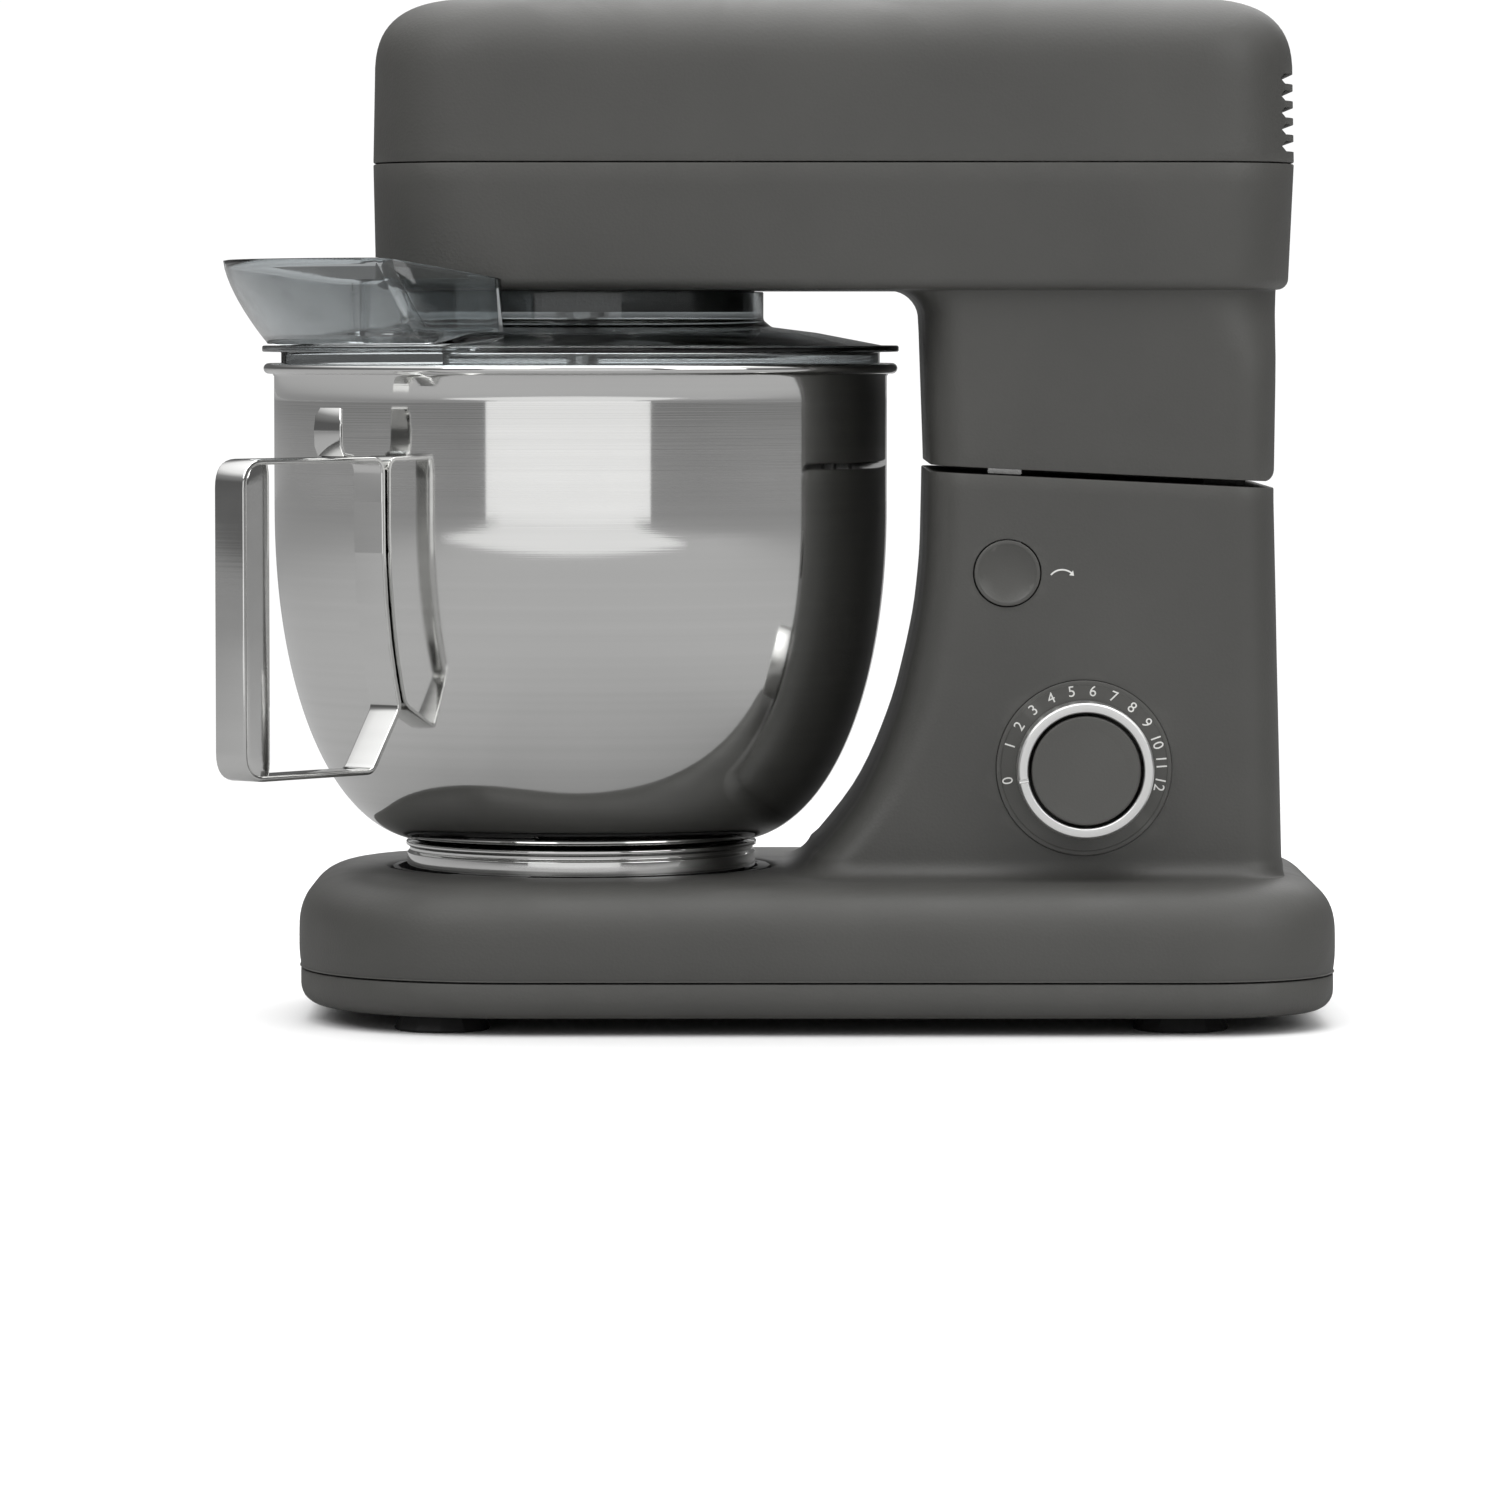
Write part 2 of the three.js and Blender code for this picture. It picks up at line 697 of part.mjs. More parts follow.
// Return spring, drawn at the length it has with the button pressed.
const springStart = nearFace - 0.4 + 6 + buttonTravel + runningGap;
const springLength = 12;
const springTurns = 4;
class Helix extends THREE.Curve {
  constructor(radius, length, turns) {
    super();
    Object.assign(this, { radius, length, turns });
  }

  getPoint(t, target = new THREE.Vector3()) {
    const angle = 2 * Math.PI * this.turns * t;
    return target.set(this.radius * Math.cos(angle), this.length * t, this.radius * Math.sin(angle));
  }
}
const wireRadius = 0.6;
part(
  base,
  'button_spring',
  'steel',
  sweep(new Helix(5.2, springLength, springTurns), roundSection(wireRadius, 5), springTurns * 8),
  [buttonX, springStart + wireRadius, buttonZ],
);

const guideStart = springStart + springLength + 2 * wireRadius + 3 * gap;
part(
  base,
  'button_guide',
  'blackPlastic',
  cut(
    block([-12, guideStart, -9], [12, guideStart + 4, 9]),
    barAcross(4.1, guideStart - 1, guideStart + 9, { sides: 14 }),
  ),
  [buttonX, 0, buttonZ],
);

// ---------------------------------------------------------------------------------------------------------
// Tilt hinge: a bracket in the column, a pin, and the steel frame that carries the head
// ---------------------------------------------------------------------------------------------------------

const bracketHalf = 34; // outer face of the bracket's ears
const sheet = 3;
const earRadius = hinge.pinRadius + 1.3;
const earBack = hinge.x - 1;

function makeHingeBracket() {
  const wallX = columnRear - shellWall - 0.5;
  const low = hinge.z - 60;
  const ear = polygon([
    [hinge.x - 16, low],
    [wallX, low],
    [wallX, hinge.z - 16],
    [earBack, hinge.z - 12],
    [earBack, hinge.z + earRadius],
    [hinge.x - 16, hinge.z + earRadius],
  ]);
  const round = (y0) => barAcross(earRadius, y0, y0 + sheet, { x: hinge.x, z: hinge.z, sides: 16 });
  const sides = [bracketHalf - sheet, -bracketHalf].map((y0) => joined(upright(ear, y0, y0 + sheet), round(y0)));
  const back = block([wallX - sheet, -bracketHalf, low], [wallX, bracketHalf, hinge.z - 20]);
  const bore = barAcross(hinge.pinRadius + gap, -90, 90, { x: hinge.x, z: hinge.z, sides: 16 });
  return cut(joined(back, ...sides), bore);
}
part(base, 'hinge_bracket', 'steel', makeHingeBracket());

const armOuter = bracketHalf + sheet + 2 * gap;
part(
  base,
  'hinge_pin',
  'satin',
  barAcross(hinge.pinRadius, -armOuter - 2, armOuter + 2, { x: hinge.x, z: hinge.z, sides: 16 }),
);

// Side plates from the pin up to the chassis plate, joined along their top.
function makeHingeFrame() {
  const top = drive.chassisBottom - gap;
  const front = hinge.x - 104;
  const plate = polygon([
    [hinge.x - 5, hinge.z - earRadius],
    [hinge.x, hinge.z - earRadius],
    [hinge.x + earRadius, hinge.z],
    [hinge.x + earRadius, hinge.z + 6],
    [hinge.x - 8, hinge.z + 34],
    [hinge.x - 8, top],
    [hinge.x - 28, top],
    [hinge.x - 28, hinge.z + 34],
    [front, hinge.z + 34],
    [front, hinge.z + 12],
    [hinge.x - 26, hinge.z + 6],
  ]);
  const insideFace = bracketHalf + gap;
  const plates = [insideFace, -insideFace - sheet].map((y0) => upright(plate, y0, y0 + sheet));
  const bridge = block([hinge.x - 28, -insideFace - sheet, top - sheet], [hinge.x - 8, insideFace + sheet, top]);
  const bore = barAcross(hinge.pinRadius + gap, -90, 90, { x: hinge.x, z: hinge.z, sides: 16 });
  return cut(joined(bridge, ...plates), bore);
}
part(head, 'hinge_frame', 'steel', makeHingeFrame());

// The catch hangs from the frame, with a window in line with the button's nose.
function makeLatchCatch() {
  const half = 6;
  const top = hinge.z + 30;
  const bar = block([buttonX - half, catchFace, buttonZ - 10], [buttonX + half, catchFace + sheet, top]);
  const window = barAcross(4.4, catchFace - 1, catchFace + 9, { x: buttonX, z: buttonZ, sides: 14 });
  return cut(bar, window);
}
part(head, 'latch_catch', 'steel', makeLatchCatch());

// ---------------------------------------------------------------------------------------------------------
// Head casings
// ---------------------------------------------------------------------------------------------------------

const headPlan = {
  front: headFront,
  rear: headRear,
  halfWidth: headHalfWidth,
  frontCorner: headFrontCorner,
  rearCorner: headRearCorner,
};
const headScrewsAt = [
  [headFront + 21, -58],
  [headFront + 21, 58],
  [columnFront - 17, -58],
  [columnFront - 17, 58],
];

// The neck's side view, running past the tilt seam at the bottom.
function neckProfile(inset, top) {
  return polygon([
    [columnFront + inset, seamFront - 9],
    [columnRear - inset, seamRear - 9],
    [columnRear + 2 - inset, top],
    [columnFront + inset, top],
  ]);
}

// What is taken off the lower rear edge of the neck to round it.
function tiltEdgeWaste() {
  const x = columnRear - tiltEdge;
  const z = seamRear + tiltEdge;
  const corner = block([x, -200, z - 9 - tiltEdge], [columnRear + 9, 200, z]);
  return cut(corner, barAcross(tiltEdge, -300, 300, { x, z, sides: 28 }));
}

function makeHeadShell() {
  const seam = coverSeam - gap / 2;
  const edge = { up: headLowerEdge, inward: headLowerEdge, steps: 2 };
  const lower = cushioned(planShape(headPlan), headBottom, seam + 20, edge);
  const neck = uprightCushioned(neckProfile(0, headBottom + 12), columnHalfWidth, columnEdge);
  const webCorner = block(
    [columnFront - neckFillet, -columnHalfWidth + columnEdgeAcross, headBottom - neckFillet],
    [columnFront + 9, columnHalfWidth - columnEdgeAcross, headBottom + 1],
  );
  const webRound = barAcross(neckFillet, -200, 200, {
    x: columnFront - neckFillet,
    z: headBottom - neckFillet,
    sides: 32,
  });
  const inside = cushioned(planShape(headPlan, shellWall), headBottom + shellWall, seam + 60, edge);
  const neckHollow = uprightCushioned(
    neckProfile(shellWall, headBottom + 12),
    columnHalfWidth - shellWall,
    innerEdge,
  ).translate([0, 0, -0.01]);
  const hollowFoot = block(
    [columnFront + columnEdgeAlong, -columnHalfWidth + columnEdgeAcross, seamRear - 9],
    [columnRear - shellWall - tiltEdge, columnHalfWidth - columnEdgeAcross, headBottom],
  );
  const bosses = headScrewsAt.map(([x, y]) =>
    disc(screw.boss, headBottom + 1, drive.chassisBottom - gap, { x, y, sides: 10 }),
  );
  const pilots = headScrewsAt.map(([x, y]) =>
    disc(screw.shank + gap, drive.chassisBottom - 18, drive.chassisBottom + 9, { x, y, sides: 8 }),
  );
  const hubHole = disc(collarRadius - 3, headBottom - 20, headBottom + 20, { sides: 36 });
  const openTop = block([headFront - 9, -200, seam], [headRear + 9, 200, headTop + 90]);
  let shell = joined(lower, cut(webCorner, webRound), neck);
  shell = cut(shell, inside, neckHollow, hollowFoot, openTop);
  shell = cut(shell.intersect(aboveSeam(seamFront, seamRear)), tiltEdgeWaste());
  shell = joined(shell, ...bosses);
  return cut(shell, ...pilots, hubHole);
}
part(head, 'head_shell', 'casing', makeHeadShell());

function makeCoverBody() {
  const bottom = coverSeam + gap / 2;
  const edge = { up: coverEdge, inward: coverEdge - 2, steps: 4 };
  const insideEdge = { up: coverEdge - shellWall, inward: coverEdge - 2 - shellWall, steps: 2 };
  const outer = cushioned(planShape(headPlan), bottom - 2 * coverEdge, headTop, edge);
  const inside = cushioned(
    planShape(headPlan, shellWall),
    bottom - 3 * coverEdge,
    headTop - shellWall,
    insideEdge,
  );
  const below = block([headFront - 9, -200, 0], [headRear + 9, 200, bottom]);
  return cut(outer, inside, below);
}

const grille = { halfWidth: headHalfWidth - 22, bottom: coverSeam + 2, height: 33, depth: 18 };
const grilleTop = grille.bottom + grille.height;
function grilleWindow(shrink) {
  return block(
    [headRear - grille.depth, -grille.halfWidth + shrink, grille.bottom + shrink],
    [headRear + 9, grille.halfWidth - shrink, grilleTop - shrink],
  );
}
const coverBody = makeCoverBody();
part(head, 'head_cover', 'casing', cut(coverBody, grilleWindow(0)));

function makeRearGrille() {
  const plate = coverBody.intersect(grilleWindow(gap));
  const slots = Array.from({ length: ventCount }, (_, index) => {
    const z = grille.bottom + 3 + ventPitch * index;
    return block([headRear - 40, -grille.halfWidth + 8, z], [headRear + 9, grille.halfWidth - 8, z + ventHeight]);
  });
  return cut(plate, ...slots);
}
part(head, 'rear_grille', 'casing', makeRearGrille());

// ---------------------------------------------------------------------------------------------------------
// Drive train in the head
// ---------------------------------------------------------------------------------------------------------

const wheelRadius = (gearModule * wheelTeeth) / 2;
const ringRadius = (gearModule * ringTeeth) / 2;
const ringOuter = ringRadius + 8;
const mainShaftRadius = 7;
const counterShaftRadius = 5;
const chassisTop = drive.chassisBottom + chassisThickness;
const beltTop = drive.beltBottom + 9;

function makeChassis() {
  const plan = planShape({
    front: headFront + 12,
    rear: hinge.x - 4,
    halfWidth: 66,
    frontCorner: 30,
    rearCorner: 20,
  });
  const plate = raised(plan, drive.chassisBottom, chassisTop, 3);
  const holes = [
    disc(mainShaftRadius + runningGap, 0, 900, { sides: 16 }),
    disc(counterShaftRadius + runningGap, 0, 900, { x: counterX, sides: 16 }),
    disc(statorRadius + runningGap, 0, 900, { x: motorX, sides: 28 }),
    ...headScrewsAt.map(([x, y]) => disc(screw.shank + gap, 0, 900, { x, y, sides: 8 })),
  ];
  return cut(plate, ...holes);
}
part(head, 'chassis_plate', 'steel', makeChassis());
headScrewsAt.forEach(([x, y], index) =>
  part(
    head,
    `chassis_screw_${index + 1}`,
    'steel',
    makeScrew(14).rotate([180, 0, 0]),
    [x, y, chassisTop + gap],
  ),
);

part(
  head,
  'ring_gear',
  'steel',
  cut(
    disc(ringOuter, drive.ringBottom, drive.ringBottom + gearFace, { sides: 28 }),
    ringGearBore(ringTeeth, drive.ringBottom - 1, drive.ringBottom + gearFace + 1),
  ),
);

// The collar stands in the hole of the head's underside, and the splash guard turns onto it.
function makeHubCollar() {
  const inner = collarRadius - 7.5;
  const outer = collarRadius - 3 - gap;
  const flangeZ = headBottom + shellWall + gap;
  return turned(
    [
      [inner, headBottom - 8],
      [outer, headBottom - 8],
      [outer, flangeZ],
      [outer + 3, flangeZ],
      [outer + 3, flangeZ + 1.8],
      [inner, flangeZ + 1.8],
    ],
    32,
  );
}
part(head, 'hub_collar', 'satin', makeHubCollar());

function makeCarrier() {
  const plate = disc(collarRadius - 8.4, drive.carrierBottom, drive.carrierTop, { sides: 32 });
  const hub = disc(12, drive.carrierTop - 1, drive.ringBottom - 0.4, { sides: 16 });
  const bearing = disc(toolShaftRadius + 4, drive.carrierBottom - 4, drive.carrierTop, { y: planetOffset, sides: 20 });
  const bore = disc(toolShaftRadius + gap, drive.carrierBottom - 9, drive.ringBottom, { y: planetOffset, sides: 20 });
  const seat = disc(mainShaftRadius + gap, drive.carrierBottom + 2, drive.ringBottom + 9, { sides: 16 });
  return cut(joined(plate, hub, bearing), bore, seat);
}
part(carrierGroup, 'planet_carrier', 'satin', makeCarrier());

part(
  carrierGroup,
  'main_shaft',
  'steel',
  disc(mainShaftRadius, drive.carrierBottom + 2 + gap, chassisTop + 6, { sides: 16 }),
);
part(
  carrierGroup,
  'large_gear',
  'nylon',
  cut(
    gear(wheelTeeth, drive.wheelBottom, drive.wheelBottom + gearFace),
    disc(mainShaftRadius + gap, 0, 900, { sides: 16 }),
  ),
);

part(
  planetGroup,
  'planet_gear',
  'steel',
  cut(
    gear(planetTeeth, drive.ringBottom + 0.5, drive.ringBottom + gearFace),
    disc(toolShaftRadius + gap, 0, 900, { sides: 16 }),
  ),
);
const toolShaftBottom = hubTop - 14;
const toolPinZ = hubTop - 6.5;
const pinRadius = 2;
part(
  planetGroup,
  'tool_shaft',
  'satin',
  cut(
    disc(toolShaftRadius, toolShaftBottom, drive.ringBottom + gearFace + 2, { sides: 16 }),
    barAcross(pinRadius + gap, -20, 20, { z: toolPinZ, sides: 10 }).rotate([0, 0, 90]),
  ),
);
part(
  planetGroup,
  'tool_pin',
  'satin',
  barAcross(pinRadius, -hubRadius + 0.5, hubRadius - 0.5, { z: toolPinZ, sides: 10 }).rotate([0, 0, 90]),
);

part(
  counterGroup,
  'countershaft',
  'steel',
  disc(counterShaftRadius, drive.ringBottom + gearFace + 3, beltTop + 4, { sides: 14 }),
);
part(
  counterGroup,
  'pinion',
  'steel',
  cut(
    gear(pinionTeeth, drive.wheelBottom - 1, drive.wheelBottom + gearFace + 1),
    disc(counterShaftRadius + gap, 0, 900, { sides: 14 }),
  ),
);

function makePulley(radius, bore) {
  const rim = radius + 1.6;
  const low = drive.beltBottom;
  const sides = radius > 20 ? 24 : 12;
  return turned(
    [
      [bore + gap, low],
      [rim, low],
      [rim, low + 1],
      [radius, low + 1.2],
      [radius, beltTop - 1.2],
      [rim, beltTop - 1],
      [rim, beltTop],
      [bore + gap, beltTop],
    ],
    sides,
  );
}
part(counterGroup, 'belt_pulley', 'nylon', makePulley(largePulleyRadius, counterShaftRadius));
part(rotorGroup, 'motor_pulley', 'steel', makePulley(smallPulleyRadius, motorShaftRadius));

// The belt runs round both pulleys: two arcs and two straight runs.
function beltOutline(extra) {
  const r1 = largePulleyRadius + extra;
  const r2 = smallPulleyRadius + extra;
  const lean = Math.acos((largePulleyRadius - smallPulleyRadius) / beltCentres);
  const shape = new THREE.Shape();
  shape.absarc(counterX, 0, r1, lean, 2 * Math.PI - lean, false);
  shape.absarc(motorX, 0, r2, -lean, lean, false);
  shape.closePath();
  return shape;
}
part(
  head,
  'drive_belt',
  'rubber',
  cut(
    raised(beltOutline(gap + 2), drive.beltBottom + 1.8, beltTop - 1.8, 12),
    raised(beltOutline(gap), drive.beltBottom, beltTop, 12),
  ),
);

// Motor: laminations with the field coils, and the rotor with its commutator and fan.
const statorTop = drive.statorBottom + statorHeight;
function makeStator() {
  const core = disc(statorRadius, drive.statorBottom, statorTop, { sides: 28 });
  const bore = disc(rotorRadius + 0.8, 0, 900, { sides: 28 });
  const flats = [-1, 1].map((side) => {
    const x0 = side > 0 ? statorRadius - 5 : -statorRadius - 5;
    return block([x0, -60, 0], [x0 + 10, 60, 900]);
  });
  return cut(core, bore, ...flats);
}
part(head, 'motor_stator', 'steel', makeStator(), [motorX, 0, 0]);

part(
  head,
  'field_coil',
  'copper',
  tube(rotorRadius + 12, rotorRadius + 1.4, statorTop + gap, statorTop + 8, { sides: 24 }),
  [motorX, 0, 0],
);

const fanBottom = statorTop + fan.lift;
part(
  rotorGroup,
  'motor_shaft',
  'steel',
  disc(motorShaftRadius, drive.statorBottom - 24, beltTop + 2, { sides: 12 }),
);
const shaftBore = disc(motorShaftRadius + gap, 0, 900, { sides: 12 });
part(
  rotorGroup,
  'armature',
  'copper',
  cut(disc(rotorRadius, drive.statorBottom + 2, statorTop - 2, { sides: 24 }), shaftBore),
);
const commutatorTop = drive.statorBottom - 3;
part(
  rotorGroup,
  'commutator',
  'copper',
  cut(disc(commutatorSize.radius, commutatorTop - commutatorSize.height, commutatorTop, { sides: 20 }), shaftBore),
);

function makeFan() {
  const top = fanBottom + fan.bladeHeight;
  const hub = disc(fan.hub, fanBottom, top, { sides: 12 });
  const plate = disc(fan.plate, fanBottom, fanBottom + fan.thickness, { sides: 24 });
  const blade = block([fan.hub + 2, -fan.bladeWidth / 2, fanBottom + 1], [fan.plate - 1, fan.bladeWidth / 2, top]);
  const blades = Array.from({ length: fan.blades }, (_, index) => blade.rotate([0, 0, (360 / fan.blades) * index]));
  return cut(joined(hub, plate, ...blades), shaftBore);
}
part(rotorGroup, 'cooling_fan', 'nylon', makeFan());

[1, -1].forEach((side, index) => {
  const inner = commutatorSize.radius + runningGap;
  const top = commutatorTop - 2;
  const holder = block([-brush.width / 2, inner, top - brush.height], [brush.width / 2, inner + brush.length, top]);
  part(head, `motor_brush_${index + 1}`, 'blackPlastic', holder.rotate([0, 0, side > 0 ? 0 : 180]), [motorX, 0, 0]);
});

// ---------------------------------------------------------------------------------------------------------
// Bowl
// ---------------------------------------------------------------------------------------------------------

const bowlShoulder = bowlRimTop - bowlStraight - 2 * rimBead;

// Radius of the bowl's outside at a height: straight above the shoulder, a quarter ellipse below it.
function bowlRadiusAt(z) {
  if (z >= bowlShoulder) return bowlRadius;
  const down = Math.min((bowlShoulder - z) / (bowlShoulder - bowlFloor), 1);
  return bowlFloorRadius + (bowlRadius - bowlFloorRadius) * Math.sqrt(1 - down * down);
}

// The bowl's wall from the floor up, set inward by inset.
function bowlWallPoints(inset, steps) {
  const points = [];
  for (let step = 0; step <= steps; step += 1) {
    const angle = (quarter * step) / steps;
    const r = bowlFloorRadius - inset + (bowlRadius - bowlFloorRadius) * Math.sin(angle);
    points.push([r, bowlShoulder - (bowlShoulder - bowlFloor - inset) * Math.cos(angle)]);
  }
  return points;
}

function makeBowl() {
  const steps = 6;
  const beadBottom = bowlRimTop - 2 * rimBead;
  return turnedSolid(
    [
      [0, bowlFloor],
      ...bowlWallPoints(0, steps),
      [bowlRadius, beadBottom],
      [rimRadius - 0.6, beadBottom + 0.3],
      [rimRadius, beadBottom + rimBead],
      [rimRadius - 0.9, bowlRimTop - 0.4],
      [bowlRadius, bowlRimTop],
      [bowlInnerRadius, bowlRimTop - 0.5],
      ...bowlWallPoints(bowlWall, steps).reverse(),
      [0, bowlFloor + bowlWall],
    ],
    bowlSides,
  );
}
part(bowlGroup, 'bowl', 'polished', makeBowl());

function makeBowlFoot() {
  const top = bowlFloor - gap;
  const ring = tube(footRingRadius, footRingRadius - footRingWall, footRingBottom, top, { sides: 32 });
  const lugs = Array.from({ length: lugCount }, (_, index) => {
    const middle = (360 / lugCount) * index;
    const start = middle - lugWidth / 2;
    return arcBlock(
      footRingRadius + 2.4,
      footRingRadius - 1,
      footRingBottom,
      footRingBottom + 2.4,
      start,
      start + lugWidth,
    );
  });
  return joined(ring, ...lugs);
}
part(bowlGroup, 'bowl_foot', 'polished', makeBowlFoot());

// A strap bent into a loop round a hollow grip. Its inner leg follows the bowl's wall down, then leaves it
// for the loop's lower edge. A thumb tab stands on the upper strap.
function makeBowlHandle() {
  const low = handleTop - handleHeight;
  const clear = gap + 0.4;
  const legLow = low + handleLegRise;
  const legSteps = 6;
  const wall = Array.from({ length: legSteps + 1 }, (_, step) => {
    const z = legLow + ((handleTop - legLow) * step) / legSteps;
    return [bowlRadiusAt(z) + clear, z];
  });
  const loop = (inset) => {
    const outerX = handleReach - inset;
    const corner = handleCorner - inset;
    const shape = new THREE.Shape();
    const leg = wall.map(([r, z]) => [r + inset, Math.min(z, handleTop - inset)]);
    shape.moveTo(handleHeel + inset / 2, low + inset);
    shape.absarc(outerX - corner, low + inset + corner, corner, -quarter, 0, false);
    shape.absarc(outerX - corner, handleTop - inset - corner, corner, 0, quarter, false);
    leg.reverse().forEach(([r, z]) => shape.lineTo(r, z));
    shape.closePath();
    return shape;
  };
  const half = handleWidth / 2;
  const strap = cut(upright(loop(0), -half, half, 3), upright(loop(strapThickness), -half - 1, half + 1, 3));
  const grip = block(
    [handleReach - gripDepth, -half + 0.5, low + strapThickness / 2],
    [handleReach - strapThickness / 2, half - 0.5, handleTop - strapThickness / 2],
  );
  const tab = block(
    [thumbTab.reach - thumbTab.thickness / 2, -thumbTab.width / 2, handleTop - strapThickness / 2],
    [thumbTab.reach + thumbTab.thickness / 2, thumbTab.width / 2, handleTop + thumbTab.height],
  );
  const bowlSpace = turnedSolid(
    [[0, 0], ...bowlWallPoints(0, 10).map(([r, z]) => [r + clear, z]), [bowlRadius + clear, 400], [0, 400]],
    48,
  ).rotate([0, 0, 180]);
  return cut(joined(strap, grip, tab), bowlSpace).rotate([0, 0, handleAngle]);
}
part(bowlGroup, 'bowl_handle', 'polished', makeBowlHandle());

// ---------------------------------------------------------------------------------------------------------
// Splash guard and feed chute, which lift with the head
// ---------------------------------------------------------------------------------------------------------

const spigotRadius = bowlInnerRadius - 1.4;
const flangeTop = flangeBottom + guardFlange;
const domeTop = flangeTop + 7.2;
const collarTop = headBottom - 2 * gap;

// A run of points moved sideways, to the right of its direction, with mitred corners.
function besidePath(points, distance) {
  const rightOf = (from, to) => new THREE.Vector2(to.y - from.y, from.x - to.x).normalize();
  return points.map((point, index) => {
    const before = rightOf(points[Math.max(index - 1, 0)], points[Math.max(index, 1)]);
    const last = points.length - 1;
    const after = rightOf(points[Math.min(index, last - 1)], points[Math.min(index + 1, last)]);
    return point.clone().addScaledVector(before.clone().add(after), distance / (1 + before.dot(after)));
  });
}

// The chute's inner wall in plan: from past the outer wall's end in to the head, along its side, round its
// front corner and out again. Positive offsets lie towards the head.
function chutePath(offset) {
  const cornerX = headFront + headFrontCorner;
  const cornerY = headFrontCorner - headHalfWidth;
  const cornerRadius = headFrontCorner + chuteHeadRoom;
  const side = cornerY - cornerRadius;
  const front = cornerX - cornerRadius;
  const steps = 5;
  const corner = Array.from({ length: steps + 1 }, (_, step) => {
    const angle = -quarter - (quarter * step) / steps;
    return new THREE.Vector2(cornerX + cornerRadius * Math.cos(angle), cornerY + cornerRadius * Math.sin(angle));
  });
  const path = [
    new THREE.Vector2(cornerX - 72, side - 61),
    new THREE.Vector2(cornerX + 1.5, side),
    ...corner,
    new THREE.Vector2(front, cornerY + chuteNose),
    new THREE.Vector2(front - 78, cornerY + chuteNose + 12),
  ];
  return besidePath(path, offset);
}

// Everything outside that wall, as far as the chute reaches.
function outsideHead(offset) {
  const far = spigotRadius + 80;
  return new THREE.Shape([...chutePath(offset), new THREE.Vector2(-far, -far)]);
}

const domeInset = 23;
const domeRise = 4.6;

function makeSplashGuard() {
  const domeKnee = spigotRadius - domeInset;
  const body = turned(
    [
      [spigotRadius - guardWall, flangeBottom - 6],
      [spigotRadius, flangeBottom - 6],
      [spigotRadius, flangeBottom],
      [flangeRadius, flangeBottom],
      [flangeRadius, flangeTop],
      [spigotRadius, flangeTop],
      [domeKnee, flangeTop + domeRise],
      [collarRadius, domeTop],
      [collarRadius, collarTop],
      [collarRadius - guardWall, collarTop],
      [collarRadius - guardWall, domeTop - guardWall],
      [domeKnee, flangeTop + domeRise - guardWall],
      [spigotRadius - guardWall, flangeTop - guardWall],
    ],
    36,
  );
  const ledge = 3; // left inside the chute's wall
  const mouth = raised(outsideHead(-ledge), flangeBottom - 20, domeTop + 9).intersect(
    disc(spigotRadius - guardWall - 1, flangeBottom - 20, domeTop + 9, { sides: 36 }),
  );
  return cut(body, mouth);
}
part(head, 'splash_guard', 'smoky', makeSplashGuard());

// A flared outer wall on the guard's edge, and a lower inner wall that passes round the head's corner.
function makeFeedChute() {
  const low = flangeTop + 2 * gap;
  const high = low + chuteHeight;
  const outerFoot = spigotRadius + 2;
  const rim = outerFoot + chuteFlare;
  const flare = [
    [outerFoot, low],
    [outerFoot + 0.45 * chuteFlare, low + 0.4 * chuteHeight],
    [rim, high],
  ];
  const sides = 40;
  const inside = flare.map(([radius, z]) => [radius - guardWall, z]).reverse();
  const shell = turned([...flare, ...inside], sides);
  const sector = arcBlock(rim + 20, outerFoot - 20, low - 5, high + 5, chuteStart, chuteEnd, 8);
  const innerTop = high - chuteInnerDrop;
  const core = turned(
    [
      [spigotRadius - 35, innerTop],
      [spigotRadius - 35, flangeTop + domeRise + 3],
      [spigotRadius - domeInset, flangeTop + domeRise + 2 * gap],
      ...flare,
      [spigotRadius - domeInset + 6, innerTop],
    ],
    sides,
  );
  const wallPlan = new THREE.Shape([...chutePath(guardWall / 2), ...chutePath(-guardWall / 2).reverse()]);
  return joined(shell.intersect(sector), core.intersect(raised(wallPlan, low - 5, high + 5)));
}
part(head, 'feed_chute', 'smoky', makeFeedChute());

// ---------------------------------------------------------------------------------------------------------
// Flat beater: a frame in the plane of its shaft, with a silicone blade on one side
// ---------------------------------------------------------------------------------------------------------

const shieldZ = hubTop - 15;
const frameTop = hubTop - 26;
const frameBottom = beaterBottom + beaterBar / 2;
const frameHeight = frameTop - frameBottom;
const wiperSeat = beaterReach - 13; // middle of the bar on the blade's side

// The frame's loop in its own plane: v goes from 0 at the bottom to 1 at the top.
function beaterLoop() {
  const outline = [
    [-0.22, 1],
    [-0.62, 0.96],
    [-0.93, 0.79],
    [-1, 0.55],
    [-0.9, 0.36],
    [-0.64, 0.15],
    [-0.3, 0.02],
    [0.2, 0],
  ].map(([u, v]) => new THREE.Vector3(0, u * beaterReach, frameBottom + v * frameHeight));
  const bladeSide = [
    [0.52, 0.1],
    [0.85, 0.36],
    [1, 0.6],
    [0.92, 0.82],
    [0.6, 0.97],
    [0.24, 1],
  ].map(([u, v]) => new THREE.Vector3(0, u * wiperSeat, frameBottom + v * frameHeight));
  return new THREE.CatmullRomCurve3([...outline, ...bladeSide], true, 'centripetal');
}

const barSection = new THREE.Shape(
  [0, 1, 2, 3, 4, 5, 6, 7].map((corner) => {
    const angle = degrees(45 * corner + 22.5);
    return new THREE.Vector2((beaterBar / 2) * Math.cos(angle), (beaterBar / 2) * Math.sin(angle));
  }),
);

